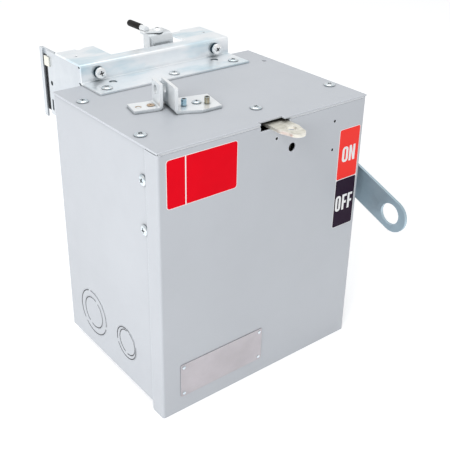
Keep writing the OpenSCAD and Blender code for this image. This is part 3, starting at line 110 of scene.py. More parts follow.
class Nodes:
    """A node tree with a Principled shader at its end."""

    def __init__(self, name):
        self.mat = bpy.data.materials.new(name)
        self.mat.use_nodes = True
        self.tree = self.mat.node_tree
        self.shader = next(n for n in self.tree.nodes if n.type == "BSDF_PRINCIPLED")
        self.coord = self.tree.nodes.new("ShaderNodeTexCoord").outputs["Object"]

    def link(self, a, b):
        self.tree.links.new(a, b)

    def feed(self, socket, value):
        """Links an output to a socket, or sets the socket to a number or a colour."""
        if hasattr(value, "is_output"):
            self.link(value, socket)
        elif hasattr(value, "__len__"):
            socket.default_value = (*value, 1)
        else:
            socket.default_value = value

    def put(self, socket, value):
        self.shader.inputs[socket].default_value = value

    def noise(self, scale, detail=3.0, rough=0.55, stretch=None):
        """Cloudy noise from 0 to 1; stretch scales it along X, Y and Z."""
        n = self.tree.nodes.new("ShaderNodeTexNoise")
        n.inputs["Scale"].default_value = scale
        n.inputs["Detail"].default_value = detail
        n.inputs["Roughness"].default_value = rough
        where = self.coord
        if stretch:
            m = self.tree.nodes.new("ShaderNodeMapping")
            m.inputs["Scale"].default_value = stretch
            self.link(where, m.inputs["Vector"])
            where = m.outputs["Vector"]
        self.link(where, n.inputs["Vector"])
        return n.outputs["Fac"]

    def ramp(self, source, stops):
        """Stops are (place, colour or grey)."""
        n = self.tree.nodes.new("ShaderNodeValToRGB")
        els = n.color_ramp.elements
        while len(els) < len(stops):
            els.new(0.5)
        for e, (p, c) in zip(els, stops):
            e.position = p
            c = (c, c, c) if not hasattr(c, "__len__") else c
            e.color = (*c, 1)
        self.link(source, n.inputs["Fac"])
        return n.outputs["Color"]

    def mix(self, fac, a, b, how="MIX"):
        """Colour mix; of the node's sockets, inputs 6 and 7 and output 2 are the colours."""
        n = self.tree.nodes.new("ShaderNodeMix")
        n.data_type, n.blend_type = "RGBA", how
        self.feed(n.inputs["Factor"], fac)
        self.feed(n.inputs[6], a)
        self.feed(n.inputs[7], b)
        return n.outputs[2]

    def math(self, how, a, b):
        n = self.tree.nodes.new("ShaderNodeMath")
        n.operation = how
        self.feed(n.inputs[0], a)
        self.feed(n.inputs[1], b)
        return n.outputs[0]

    def relief(self, height, distance, strength=1.0, edge=0.0, last=None):
        """Bump from a height, on a normal whose edges are rounded by a radius in metres."""
        n = self.tree.nodes.new("ShaderNodeBump")
        n.inputs["Distance"].default_value = distance
        n.inputs["Strength"].default_value = strength
        self.link(height, n.inputs["Height"])
        if last is not None:
            self.link(last, n.inputs["Normal"])
        elif edge:
            b = self.tree.nodes.new("ShaderNodeBevel")
            b.samples = 4
            b.inputs["Radius"].default_value = edge
            self.link(b.outputs["Normal"], n.inputs["Normal"])
        return n.outputs["Normal"]

    def rim(self, radius, full=0.16):
        """Nearly 1 within a radius in metres of an edge, from how far a rounded normal leans there."""
        rounded = self.tree.nodes.new("ShaderNodeBevel")
        rounded.samples = 6
        rounded.inputs["Radius"].default_value = radius
        true = self.tree.nodes.new("ShaderNodeNewGeometry")
        dot = self.tree.nodes.new("ShaderNodeVectorMath")
        dot.operation = "DOT_PRODUCT"
        self.link(rounded.outputs["Normal"], dot.inputs[0])
        self.link(true.outputs["Normal"], dot.inputs[1])
        return self.ramp(self.math("SUBTRACT", 1.0, dot.outputs["Value"]), [(0.01, 0.0), (full, 1.0)])

    def along(self, axis, start, end):
        """0 at one place on an axis of the frame and 1 at the other, in metres."""
        split = self.tree.nodes.new("ShaderNodeSeparateXYZ")
        self.link(self.coord, split.inputs[0])
        span = self.tree.nodes.new("ShaderNodeMapRange")
        span.inputs["From Min"].default_value = start
        span.inputs["From Max"].default_value = end
        self.link(split.outputs[axis], span.inputs["Value"])
        return span.outputs["Result"]

    def nook(self, reach, full=0.3, none=0.9):
        """1 deep in gaps and recesses that are about as wide as the reach in metres, 0 in the open."""
        n = self.tree.nodes.new("ShaderNodeAmbientOcclusion")
        n.samples = 8
        n.inputs["Distance"].default_value = reach
        return self.ramp(n.outputs["AO"], [(full, 1.0), (none, 0.0)])


def tone(colour, k):
    """Colour times a factor, up to white."""
    return tuple(min(1.0, c * k) for c in colour)


def powder_coat(name, colour, gap=(0.0022, 0.3, 0.7, 0.35)):
    """Satin powder coat: fine orange peel and slight clouding, with a painted highlight on bends and edges
    and painted shade in gaps.

    The gap is the reach in metres, the darkest and the lightest hollow and the share of the painted shade.
    """
    n = Nodes(name)
    cloud = n.ramp(n.noise(9, 4, 0.6), [(0.3, tone(colour, 0.97)), (0.7, tone(colour, 1.025))])
    flecked = n.mix(n.math("MULTIPLY", n.noise(700, 2, 0.5), 0.06), cloud, tone(colour, 0.8))
    # Painted highlight: the colour is lightened within about a millimetre of edges and bends
    base = n.mix(n.math("MULTIPLY", n.rim(0.0012), 0.75), flecked, tone(colour, 1.6))
    reach, full, none, share = gap
    # Painted shade: the colour is darkened in gaps and hollows
    base = n.mix(n.math("MULTIPLY", n.nook(reach, full, none), share), base, tone(colour, 0.22))
    n.link(base, n.shader.inputs["Base Color"])
    n.link(n.ramp(n.noise(40, 4), [(0.3, 0.36), (0.7, 0.46)]), n.shader.inputs["Roughness"])
    first = n.relief(n.noise(420, 2, 0.4), 0.00012, 0.35, 0.0006)
    n.link(n.relief(n.noise(14, 2), 0.0006, 0.25, last=first), n.shader.inputs["Normal"])
    n.put("Specular IOR Level", 0.5)
    n.put("Coat Weight", 0.15)
    n.put("Coat Roughness", 0.25)
    return n.mat


# Colour of the painted shade in the hollows of plated metal
PAINTED_ZINC_SHADE = (0.035, 0.085, 0.11)


def plated(name, bright, dim, rough=(0.28, 0.4), grain=(1, 1, 1), blotch=40, shade=PAINTED_ZINC_SHADE,
           reach=0.009, hollow=(0.2, 0.62), metal=1.0, zones=(), edge=0.8):
    """Electroplated metal: cloudy tint and faint grain, with a painted highlight on edges and painted shade
    in hollows and contact lines.

    Each zone is (a function of the nodes that gives 0 to 1 over the surface, a colour to multiply by).
    """
    n = Nodes(name)
    n.put("Metallic", metal)
    base = n.ramp(n.noise(blotch, 4, 0.55), [(0.32, dim), (0.68, bright)])
    for where, colour in zones:
        base = n.mix(where(n), base, colour, "MULTIPLY")
    # Painted highlight: edges are lightened towards white
    base = n.mix(n.math("MULTIPLY", n.rim(0.0008), edge), base, tone(bright, 1.25))
    # Painted shade: hollows take the shade colour in patches, and tight contact lines take a darker one
    patch = n.ramp(n.noise(70, 3), [(0.3, 0.55), (0.6, 1.0)])
    base = n.mix(n.math("MULTIPLY", n.nook(reach, *hollow), patch), base, shade)
    base = n.mix(n.nook(0.0012, 0.25, 0.65), base, tone(shade, 0.3))
    n.link(base, n.shader.inputs["Base Color"])
    fine = n.noise(240, 3, 0.5, grain)
    n.link(n.ramp(fine, [(0.3, rough[0]), (0.72, rough[1])]), n.shader.inputs["Roughness"])
    first = n.relief(fine, 0.00003, 0.4, 0.0004)
    n.link(n.relief(n.noise(28, 2), 0.0003, 0.2, last=first), n.shader.inputs["Normal"])
    return n.mat


def moulded(name, colour, rough=(0.45, 0.6)):
    """Moulded plastic: fine grain, slight flow marks, and lighter edges that are partly wear and partly
    painted highlight.
    """
    n = Nodes(name)
    flow = n.ramp(n.noise(25, 4), [(0.3, tone(colour, 0.85)), (0.7, tone(colour, 1.15))])
    # Lighter edges: partly wear, partly painted highlight
    worn_and_lit_edge = tuple(min(1, c * 1.4 + 0.02) for c in colour)
    n.link(n.mix(n.math("MULTIPLY", n.rim(0.0005), 0.4), flow, worn_and_lit_edge), n.shader.inputs["Base Color"])
    n.link(n.ramp(n.noise(120, 3), [(0.3, rough[0]), (0.7, rough[1])]), n.shader.inputs["Roughness"])
    n.link(n.relief(n.noise(900, 2), 0.00008, 0.4, 0.0004), n.shader.inputs["Normal"])
    n.put("Specular IOR Level", 0.25)
    return n.mat


def wound(name, colour):
    """Glass cloth tube: crossed windings under a thin varnish."""
    n = Nodes(name)
    weave = n.noise(500, 2, 0.5, (1, 1, 4))
    n.link(n.ramp(weave, [(0.3, tone(colour, 0.82)), (0.7, colour)]), n.shader.inputs["Base Color"])
    n.link(n.ramp(n.noise(60), [(0.3, 0.35), (0.7, 0.55)]), n.shader.inputs["Roughness"])
    n.link(n.relief(weave, 0.0001, 0.5, 0.0003), n.shader.inputs["Normal"])
    return n.mat


def printed(name, colour, rough=0.45, shine=0.3):
    """Ink on a thin vinyl label: nearly even, with the film's faint ripple."""
    n = Nodes(name)
    n.link(n.ramp(n.noise(30, 3), [(0.3, tone(colour, 0.95)), (0.7, tone(colour, 1.03))]),
           n.shader.inputs["Base Color"])
    n.link(n.ramp(n.noise(90, 3), [(0.3, rough - 0.05), (0.7, rough + 0.08)]), n.shader.inputs["Roughness"])
    n.link(n.relief(n.noise(45, 2), 0.0002, 0.2), n.shader.inputs["Normal"])
    n.put("Specular IOR Level", shine)
    return n.mat


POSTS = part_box("ear_posts")
POSTS_MIDDLE = (POSTS[0].x + POSTS[1].x) / 2


def blushes(n):
    """Faint streaks of the blue passivate on the plug-in head."""
    return n.ramp(n.noise(20, 4, 0.6, (0.5, 1.5, 1.5)), [(0.5, 0.0), (0.66, 0.7)])


def right_post(n):
    """0 on the left ear post and 1 on the right one, which is plated in a tan colour."""
    return n.along("X", POSTS_MIDDLE - 0.001, POSTS_MIDDLE + 0.001)


GREY = (0.519, 0.542, 0.578)
MAT = {
    "paint": powder_coat("paint", GREY),
    # Lighter copy of the paint without shade in gaps: a painted highlight along the cover's top edge
    "hem_highlight_paint": powder_coat("hem_highlight_paint", (0.62, 0.645, 0.68), (0.0022, 0.1, 0.2, 0.0)),
    # Near black paint for bands of painted shade over the knockouts' sheared rings
    "seam": powder_coat("seam", (0.022, 0.026, 0.032)),
    # top_paint and body_paint are the grey paint with stronger painted shade in gaps, hollows and near other
    # parts
    "top_paint": powder_coat("top_paint", GREY, (0.003, 0.5, 0.95, 0.7)),
    "body_paint": powder_coat("body_paint", GREY, (0.006, 0.45, 0.95, 0.85)),
    "zinc": plated("zinc", (0.84, 0.87, 0.89), (0.74, 0.78, 0.81), metal=0.8),
    "head_zinc": plated("head_zinc", (0.96, 0.98, 1.0), (0.88, 0.92, 0.95), metal=0.7,
                        zones=((blushes, (0.62, 0.80, 0.87)),)),
    "side_zinc": plated("side_zinc", (0.70, 0.735, 0.77), (0.63, 0.67, 0.71), metal=0.7),
    "ear_zinc": plated("ear_zinc", (0.95, 0.97, 0.98), (0.86, 0.89, 0.91), metal=0.6, hollow=(0.3, 0.8)),
    "clamp_zinc": plated("clamp_zinc", (0.74, 0.77, 0.79), (0.66, 0.70, 0.73), metal=0.7),
    # The screws' dark shade colours are painted shade in their cross recesses and around their rims
    "zinc_screw": plated("zinc_screw", (0.88, 0.91, 0.93), (0.58, 0.68, 0.74), (0.14, 0.26), blotch=260,
                         shade=(0.02, 0.045, 0.06), reach=0.003, hollow=(0.45, 0.92), edge=0.3),
    "bright_screw": plated("bright_screw", (1.0, 1.0, 1.0), (0.84, 0.88, 0.90), (0.14, 0.26), blotch=260,
                           shade=(0.01, 0.02, 0.025), reach=0.003, hollow=(0.45, 0.88), metal=0.85,
                           edge=0.2),
    # Near black teal: painted shade on the big screws' washers and in the foot's hole rings
    "zinc_in_painted_shade": plated("zinc_in_painted_shade", (0.20, 0.30, 0.36), (0.03, 0.07, 0.09), (0.15, 0.3), blotch=180,
                        shade=(0.01, 0.02, 0.03), reach=0.003, hollow=(0.4, 0.9)),
    # Light grey for painted light on the hole floors, made with the label finish
    "lit_hole_floor": printed("lit_hole_floor", (0.80, 0.84, 0.86)),
    "tan_screw": plated("tan_screw", (0.75, 0.60, 0.46), (0.50, 0.37, 0.26), (0.3, 0.45), blotch=250,
                        shade=(0.10, 0.06, 0.04), reach=0.003),
    "dull_zinc": plated("dull_zinc", (0.52, 0.64, 0.71), (0.42, 0.54, 0.61), (0.35, 0.5), blotch=22,
                        metal=0.85, edge=0.3),
    "yellow_zinc": plated("yellow_zinc", (0.90, 0.88, 0.80), (0.64, 0.62, 0.54), (0.4, 0.55), blotch=150,
                          shade=(0.12, 0.11, 0.09), metal=0.8),
    "cream_zinc": plated("cream_zinc", (0.97, 0.95, 0.86), (0.90, 0.88, 0.77), (0.35, 0.5), blotch=60,
                         metal=0.5),
    "posts": plated("posts", (0.52, 0.70, 0.80), (0.36, 0.54, 0.64), (0.2, 0.3), blotch=200,
                    shade=(0.02, 0.03, 0.04), reach=0.003, hollow=(0.35, 0.8),
                    zones=((right_post, (1.0, 0.62, 0.38)),)),
    "copper": plated("copper", (0.90, 0.55, 0.38), (0.70, 0.38, 0.25), (0.28, 0.45), (1, 1, 6),
                     shade=(0.20, 0.09, 0.05)),
    "tinned": plated("tinned", (0.80, 0.79, 0.76), (0.66, 0.66, 0.64), (0.3, 0.5), shade=(0.2, 0.2, 0.19)),
    "brass": plated("brass", (0.86, 0.70, 0.42), (0.70, 0.55, 0.32), (0.22, 0.4), shade=(0.2, 0.13, 0.06)),
    "black": moulded("black", (0.006, 0.006, 0.007)),
    "grip": moulded("grip", (0.006, 0.005, 0.005), (0.5, 0.65)),
    "phenolic": moulded("phenolic", (0.05, 0.035, 0.03), (0.25, 0.4)),
    "fibre": moulded("fibre", (0.42, 0.09, 0.06), (0.4, 0.6)),
    "tube": wound("tube", (0.80, 0.76, 0.66)),
    "plate": plated("plate", (0.53, 0.50, 0.525), (0.46, 0.435, 0.455), (0.35, 0.5), (1, 1, 12), metal=0.7),
    "white_ink": printed("white_ink", (0.90, 0.90, 0.90)),
    "red_ink": printed("red_ink", (0.82, 0.001, 0.012), 0.5, 0.05),
    "signal_red": printed("signal_red", (1.0, 0.042, 0.032), shine=0.15),
    "dark_ink": printed("dark_ink", (0.022, 0.010, 0.026), 0.6, 0.1),
}

FINISH = {
    "paint": ("cover",),
    "top_paint": ("top_panel",),
    "body_paint": ("enclosure_body",),
    "head_zinc": ("head_bracket",),
    "side_zinc": ("left_side_plate", "right_side_plate"),
    "ear_zinc": ("padlock_ear_left", "padlock_ear_right", "clamp_lever", "clamp_shaft"),
    "clamp_zinc": ("clamp_bracket",),
    "zinc_screw": ("top_screws", "side_screws", "ear_screws", "bracket_screws", "latch_screw", "head_screws"),
    "dull_zinc": ("operating_handle", "handle_washer", "operating_shaft"),
    "yellow_zinc": ("cover_latch",),
    "cream_zinc": ("ground_clip",),
    "posts": ("ear_posts",),
    "copper": ("switch_blades", "line_straps", "load_straps", "lower_terminals"),
    "tinned": ("stab_fingers", "fuse_clips", "load_lugs"),
    "brass": ("shaft_bushing", "fuse_ferrules"),
    "black": ("stab_block", "hook_liner"),
    "grip": ("clamp_grip",),
    "phenolic": ("crossbar", "switch_base", "fuse_base"),
    "fibre": ("phase_barriers",),
    "tube": ("fuse_tubes",),
}
# Finish of each CAD node; nodes that aren't listed get the zinc
finish_of = {node: key for key, nodes in FINISH.items() for node in nodes}
for name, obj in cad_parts.items():
    mat = MAT[finish_of.get(name, "zinc")]
    for s in obj.material_slots:
        s.material = mat


# ---- Pieces ----

def piece(name, bm, mat, body, smooth=False):
    """Makes an object from a bmesh, gives it its finish and puts it on a body."""
    mesh = bpy.data.meshes.new(name)
    bmesh.ops.recalc_face_normals(bm, faces=bm.faces)
    bm.to_mesh(mesh)
    bm.free()
    mesh.materials.append(MAT[mat])
    for p in mesh.polygons:
        p.use_smooth = smooth
    obj = bpy.data.objects.new(name, mesh)
    bpy.context.scene.collection.objects.link(obj)
    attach(obj, body)
    return obj


def rounded(w, h, r, steps=6):
    """Corner points of a rounded rectangle centred on the origin."""
    out = []
    x, y = w / 2 - r, h / 2 - r
    for cx, cy, a0 in ((x, y, 0), (-x, y, 90), (-x, -y, 180), (x, -y, 270)):
        for i in range(steps + 1):
            a = math.radians(a0 + 90 * i / steps)
            out.append((cx + r * math.cos(a), cy + r * math.sin(a)))
    return out


def soften(obj, width, segments):
    """Bevels a piece's sharp edges by a width in metres."""
    mod = obj.modifiers.new("edge", "BEVEL")
    mod.width, mod.segments, mod.limit_method = width, segments, "ANGLE"


def sheet_of(bm, outline, holes, place, back, front):
    """Adds a thin plate with holes between two depths; place(u, v, depth) gives a point."""
    loops = [outline] + holes
    edges = []
    for loop in loops:
        vs = [bm.verts.new(place(u, v, front)) for u, v in loop]
        edges += [bm.edges.new((vs[i], vs[(i + 1) % len(vs)])) for i in range(len(vs))]
    fill = bmesh.ops.triangle_fill(bm, use_beauty=True, edges=edges)
    faces = [g for g in fill["geom"] if isinstance(g, bmesh.types.BMFace)]
    ext = bmesh.ops.extrude_face_region(bm, geom=faces)
    verts = [g for g in ext["geom"] if isinstance(g, bmesh.types.BMVert)]
    shift = place(0, 0, back) - place(0, 0, front)
    bmesh.ops.translate(bm, verts=verts, vec=shift)


# ---- Fasteners ----

def solids_of(node):
    """Lowest and highest corner of each solid of a CAD node, from left to right."""
    bm = bmesh.new()
    bm.from_mesh(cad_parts[node].data)
    bmesh.ops.remove_doubles(bm, verts=bm.verts, dist=1e-6)
    rest = set(bm.verts)
    out = []
    while rest:
        stack = [rest.pop()]
        lo, hi = stack[0].co.copy(), stack[0].co.copy()
        while stack:
            v = stack.pop()
            lo, hi = Vector(map(min, lo, v.co)), Vector(map(max, hi, v.co))
            for e in v.link_edges:
                w = e.other_vert(v)
                if w in rest:
                    rest.discard(w)
                    stack.append(w)
        out.append((lo, hi))
    bm.free()
    return sorted(out, key=lambda box: [round(c, 5) for c in (*box[0], *box[1])])


def revolved(profile, segments=36):
    """Solid of revolution about Z from (radius, height) points in mm; it starts and ends on the axis."""
    bm = bmesh.new()
    rings = []
    for r, z in profile:
        around = range(segments) if r else range(1)
        turn = 2 * math.pi / segments
        rings.append([bm.verts.new((r * MM * math.cos(i * turn), r * MM * math.sin(i * turn), z * MM))
                      for i in around])
    for a, b in zip(rings, rings[1:]):
        for i in range(segments):
            j = (i + 1) % segments
            if len(a) == 1:
                bm.faces.new((a[0], b[j], b[i]))
            elif len(b) == 1:
                bm.faces.new((a[i], a[j], b[0]))
            else:
                bm.faces.new((a[i], a[j], b[j], b[i]))
    bmesh.ops.recalc_face_normals(bm, faces=bm.faces)
    return bm


# A slot's length and width as shares of the head's diameter, its narrower floor, and the blade's excess
SLOT_L, SLOT_W, FLOOR_SHARE, BLADE_OUT = 0.52, 0.125, 0.55, 0.4


def cross_blade(d, h, depth, turn):
    """Tapered blade that cuts one slot of a cross recess."""
    bm = bmesh.new()
    bmesh.ops.create_cube(bm, size=1)
    for v in bm.verts:
        top = v.co.z > 0
        k = 1.0 if top else FLOOR_SHARE
        z = h + BLADE_OUT if top else h - depth
        v.co = Vector((v.co.x * d * SLOT_L * k, v.co.y * d * SLOT_W * k, z)) * MM
    bmesh.ops.rotate(bm, verts=bm.verts, matrix=Matrix.Rotation(math.radians(turn), 3, "Z"))
    return bm


def scratch(name, bm):
    """Object that is only used to cut another and is removed again."""
    mesh = bpy.data.meshes.new(name)
    bm.to_mesh(mesh)
    bm.free()
    obj = bpy.data.objects.new(name, mesh)
    bpy.context.scene.collection.objects.link(obj)
    return obj


# Thread core and tip as shares of the shank's radius, and the deepest cross recess in mm
CORE, TIP, RECESS = 0.86, 0.7, 2.4


def screw(d, h, rim, shank_d, length, turn=0.0):
    """Mesh of a domed screw with a rim, a cross recess and a rolled thread, seated on the origin."""
    R, r = d / 2, shank_d / 2
    pitch = max(0.8, shank_d / 5)
    profile = [(0, -length), (r * TIP, -length)]
    z = -length + 0.4
    while z < -pitch:
        profile += [(r * CORE, z), (r, z + pitch / 2)]
        z += pitch
    profile += [(r * CORE, z), (r * CORE, 0), (R * 0.84, 0), (R * 0.86, 0.25), (R, 0.3), (R, rim)]
    steps = 9
    for i in range(1, steps):
        t = i / steps * math.pi / 2
        profile.append((R * math.cos(t) ** 0.8, rim + (h - rim) * math.sin(t)))
    profile.append((0, h))
    main = scratch("main", revolved(profile))
    parts = [main]
    for i in range(2):
        blade = scratch("blade", cross_blade(d, h, min(h * 0.75, RECESS), turn + 90 * i))
        parts.append(blade)
        mod = main.modifiers.new("cut%d" % i, "BOOLEAN")
        mod.operation, mod.solver, mod.object = "DIFFERENCE", "EXACT", blade
    bpy.context.view_layer.update()
    done = bpy.data.meshes.new_from_object(main.evaluated_get(bpy.context.evaluated_depsgraph_get()))
    for obj in parts:
        mesh = obj.data
        bpy.data.objects.remove(obj)
        bpy.data.meshes.remove(mesh)
    done.materials.clear()
    return done


def ring(r0, r1, z0, z1, split=0.0, rise=0.0):
    """Flat or split ring in mm; a split one leaves a gap of so many degrees and climbs by the rise."""
    bm = bmesh.new()
    steps = 40
    loops = []
    for i in range(steps + (1 if split else 0)):
        t = i / steps
        a = math.radians(split / 2 + (360 - split) * t)
        up = rise * (t - 0.5)
        loops.append([bm.verts.new((r * MM * math.cos(a), r * MM * math.sin(a), (z + up) * MM))
                      for r, z in ((r0, z0), (r1, z0), (r1, z1), (r0, z1))])
    for i in range(steps):
        a, b = loops[i], loops[(i + 1) % len(loops)]
        for j in range(4):
            bm.faces.new((a[j], a[(j + 1) % 4], b[(j + 1) % 4], b[j]))
    if split:
        bm.faces.new(loops[0])
        bm.faces.new(loops[-1][::-1])
    return bm


def crisp(obj, degrees=32):
    """Smooth shading with sharp edges above an angle."""
    for p in obj.data.polygons:
        p.use_smooth = True
    obj.data.set_sharp_from_angle(angle=math.radians(degrees))
    return obj


UP = Matrix.Identity(4)
FRONT = Matrix.Rotation(math.radians(90), 4, "X")
LEFT = Matrix.Rotation(math.radians(-90), 4, "Y")
RIGHT = Matrix.Rotation(math.radians(90), 4, "Y")


def seated(name, sources, mat, body="enclosure"):
    """One piece from (mesh or bmesh, turn, place) rows."""
    bm = bmesh.new()
    for source, turn, place in sources:
        first = len(bm.verts)
        if isinstance(source, bmesh.types.BMesh):
            mesh = bpy.data.meshes.new("part")
            source.to_mesh(mesh)
            bm.from_mesh(mesh)
            bpy.data.meshes.remove(mesh)
        else:
            bm.from_mesh(source)
        bm.verts.ensure_lookup_table()
        bmesh.ops.transform(bm, matrix=Matrix.Translation(place) @ turn, verts=bm.verts[first:])
    return crisp(piece(name, bm, mat, body))


# Height of the small screws' heads in the solids, and their shank
HEAD_H = 2.6
SHANK_D = 4.0


def upright_screws(node, name, rim=0.6, mat="zinc_screw", only=None, h=2.1, k=1.0):
    """Screws with their heads up, at the seats of a node's own.

    The head is h mm high and k times as wide as the solid's.
    """
    rows = []
    for i, (lo, hi) in enumerate(solids_of(node)):
        if only is not None and i not in only:
            continue
        seat = hi.z - HEAD_H * MM
        d = (hi.x - lo.x) / MM * k
        mesh = screw(d, h, rim, SHANK_D, (seat - lo.z) / MM, 20 + 37 * i)
        rows.append((mesh, UP, Vector(((lo.x + hi.x) / 2, (lo.y + hi.y) / 2, seat))))
    return seated(name, rows, mat)


for node in ("top_screws", "bracket_screws", "latch_screw"):
    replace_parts(upright_screws(node, node + "_cut"), node)
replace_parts(upright_screws("ear_screws", "ear_screw_tan", 0.5, "tan_screw", (0,), 1.0, 0.8), "ear_screws")
upright_screws("ear_screws", "ear_screw_bright", only=(1,))

side_rows = []
for i, (lo, hi) in enumerate(solids_of("side_screws")):
    left = lo.x + hi.x < 0
    seat = lo.x + HEAD_H * MM if left else hi.x - HEAD_H * MM
    length = (hi.x - lo.x) / MM - HEAD_H
    side_rows.append((screw((hi.z - lo.z) / MM, HEAD_H, 0.8, SHANK_D, length, 15 + 50 * i),
                      LEFT if left else RIGHT, Vector((seat, (lo.y + hi.y) / 2, (lo.z + hi.z) / 2))))
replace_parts(seated("side_screws_cut", side_rows, "zinc_screw"), "side_screws")

# Plug-in head's big screws: head, flat washer and split lock washer
PAN_D, PAN_H, PAN_RIM, PAN_SHANK_D = 10.8, 3.8, 2.2, 6.2
WASHER_T, WASHER_R, WASHER_BORE_R = 1.1, 5.6, 3.3
LOCK_T, LOCK_R, LOCK_BORE_R, LOCK_SPLIT, LOCK_RISE = 2.0, 5.0, 3.4, 14, 0.1
LOCK_GAP = 0.2
head_rows, lock_rows = [], []
for i, (lo, hi) in enumerate(solids_of("head_screws")):
    seat = Vector(((lo.x + hi.x) / 2, COVER[0].y + BOX_D * MM, (lo.z + hi.z) / 2))
    top = seat + Vector((0, -(WASHER_T + LOCK_T) * MM, 0))
    flat = ring(WASHER_BORE_R, WASHER_R, 0.02, WASHER_T)
    lock = ring(LOCK_BORE_R, LOCK_R, WASHER_T + LOCK_GAP, WASHER_T + LOCK_T - LOCK_GAP, LOCK_SPLIT, LOCK_RISE)
    lock_rows += [(flat, FRONT, seat), (lock, FRONT @ Matrix.Rotation(math.radians(150), 4, "Z"), seat)]
    head_rows.append((screw(PAN_D, PAN_H, PAN_RIM, PAN_SHANK_D, (hi.y - top.y) / MM, 8 + 30 * i), FRONT, top))
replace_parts(seated("head_screws_cut", head_rows, "bright_screw"), "head_screws")
# The washers are near black as painted shade around the big screws
seated("head_lock_washers", lock_rows, "zinc_in_painted_shade")


# ---- Small forms ----

# Half width of a sheared ring's ties
TIE_HALF = 2.0


def arc_rows(d, ties, turn):
    """Angles of the arcs between the ties of a sheared ring, in degrees."""
    half = math.degrees(math.asin(TIE_HALF / (d / 2)))
    return [(turn + i * 360 / ties + half, turn + (i + 1) * 360 / ties - half) for i in range(ties)]


def arc_band(bm, cy, cz, r0, r1, a0, a1, out):
    """Thin band on the left wall along an arc.

    out is how far it stands proud at its inner edge, its middle and its outer edge.
    """
    wall = BODY[0].x
    steps = max(8, int((a1 - a0) / 6))
    loops = []
    for i in range(steps + 1):
        a = math.radians(a0 + (a1 - a0) * i / steps)
        row = []
        for r, x in ((r0, 0.0), (r0, out[0]), ((r0 + r1) / 2, out[1]), (r1, out[2]), (r1, 0.0)):
            p = at(0, cy + r * math.cos(a), cz + r * math.sin(a))
            p.x = wall - (0.01 + x) * MM
            row.append(bm.verts.new(p))
        loops.append(row)
    n = len(loops[0])
    for a, b in zip(loops, loops[1:]):
        for j in range(n):
            bm.faces.new((a[j], a[(j + 1) % n], b[(j + 1) % n], b[j]))
    bm.faces.new(loops[0])
    bm.faces.new(loops[-1][::-1])


# Knockouts in the left side: places along and up it, and how far the small one's inner ring is off centre
LARGE_Y, SMALL_Y, KNOCKOUT_Z = 128.8, 65.4, 42.3
OFF_CENTRE = 2.3 * math.sin(math.radians(45))
# Rings: place, diameter, ties and the first tie's angle
RINGS = ((LARGE_Y, KNOCKOUT_Z, 50, 3, 75), (LARGE_Y, KNOCKOUT_Z, 34.9, 2, 115),
         (SMALL_Y, KNOCKOUT_Z, 34.9, 2, 160),
         (SMALL_Y - OFF_CENTRE, KNOCKOUT_Z + OFF_CENTRE, 28.2, 2, 100))
SEAM_IN, SEAM_OUT, LIP_OUT = 1.05, 0.15, 0.95
SEAM_RISE, LIP_RISE = (0.02, 0.03, 0.02), (0.05, 0.22, 0.02)
# Near black bands over the sheared rings are painted shade in their slots; the raised lips beside them are
# shape
seams, lips = bmesh.new(), bmesh.new()
for cy, cz, d, ties, turn in RINGS:
    for a0, a1 in arc_rows(d, ties, turn):
        arc_band(seams, cy, cz, d / 2 - SEAM_IN, d / 2 + SEAM_OUT, a0, a1, SEAM_RISE)
        arc_band(lips, cy, cz, d / 2 + SEAM_OUT, d / 2 + LIP_OUT, a0, a1, LIP_RISE)
piece("knockout_seams", seams, "seam", "enclosure")
crisp(piece("knockout_lips", lips, "paint", "enclosure"))


# Release tab: place, half width, lowest and highest edge, corner, and depths of the tab and of its arm
TAB_X, TAB_Z = 151.4, 232.2
TAB_HALF, TAB_LOW, TAB_HIGH, TAB_CORNER = 1.6, -4.6, 5.0, 0.8
TAB_DEPTH, ARM_DEPTH = (11.3, 9.5), (21.6, 11.0)
ARM_LEFT, ARM_LOW, ARM_HIGH = -6, -2.2, -0.6


def release_tab():
    """Tab and arm of the latch behind the release hole, where the photograph shows a light bar; a guess."""
    w, c = TAB_HALF, TAB_CORNER
    outline = [(-w, TAB_LOW), (w, TAB_LOW), (w, TAB_HIGH - c), (w - c, TAB_HIGH), (c - w, TAB_HIGH),
               (-w, TAB_HIGH - c)]

    def place(u, v, depth):
        return at(TAB_X + u, depth, TAB_Z + v)
    bm = bmesh.new()
    sheet_of(bm, outline, [], place, *TAB_DEPTH)
    soften(piece("release_tab", bm, "cream_zinc", "latch"), 0.0005, 3)
    bm = bmesh.new()
    arm = [(ARM_LEFT, ARM_LOW), (w, ARM_LOW), (w, ARM_HIGH), (ARM_LEFT, ARM_HIGH)]
    sheet_of(bm, arm, [], place, *ARM_DEPTH)
    piece("release_tab_arm", bm, "zinc", "latch")


release_tab()


def disc(bm, centre, r, t, segments=24):
    """Adds a low cylinder; its top is at the centre's height."""
    got = bmesh.ops.create_cone(bm, cap_ends=True, segments=segments, radius1=r * MM, radius2=r * MM,
                                depth=t * MM)
    bmesh.ops.translate(bm, verts=got["verts"], vec=centre - Vector((0, 0, t * MM / 2)))


# The ears' skewed frame on the top panel, and the left ear's spare hole in it
EAR_SKEW = math.radians(-13)
EAR_X, EAR_Y = 57.5, 76
SPARE_HOLE = (-20.25, 8.8)


def ear_point(u, v, w):
    """Point of the ears' skewed frame, in mm."""
    c, s = math.cos(EAR_SKEW), math.sin(EAR_SKEW)
    return at(EAR_X + c * u - s * v, EAR_Y + s * u + c * v, BOX_H + w)


# Black discs on the ear posts' tops: painted shade in their bores
bore_shade = bmesh.new()
for lo, hi in solids_of("ear_posts"):
    disc(bore_shade, Vector(((lo.x + hi.x) / 2, (lo.y + hi.y) / 2, hi.z + 0.02 * MM)), 1.7, 0.2)
piece("ear_post_bore_shade", bore_shade, "black", "enclosure")

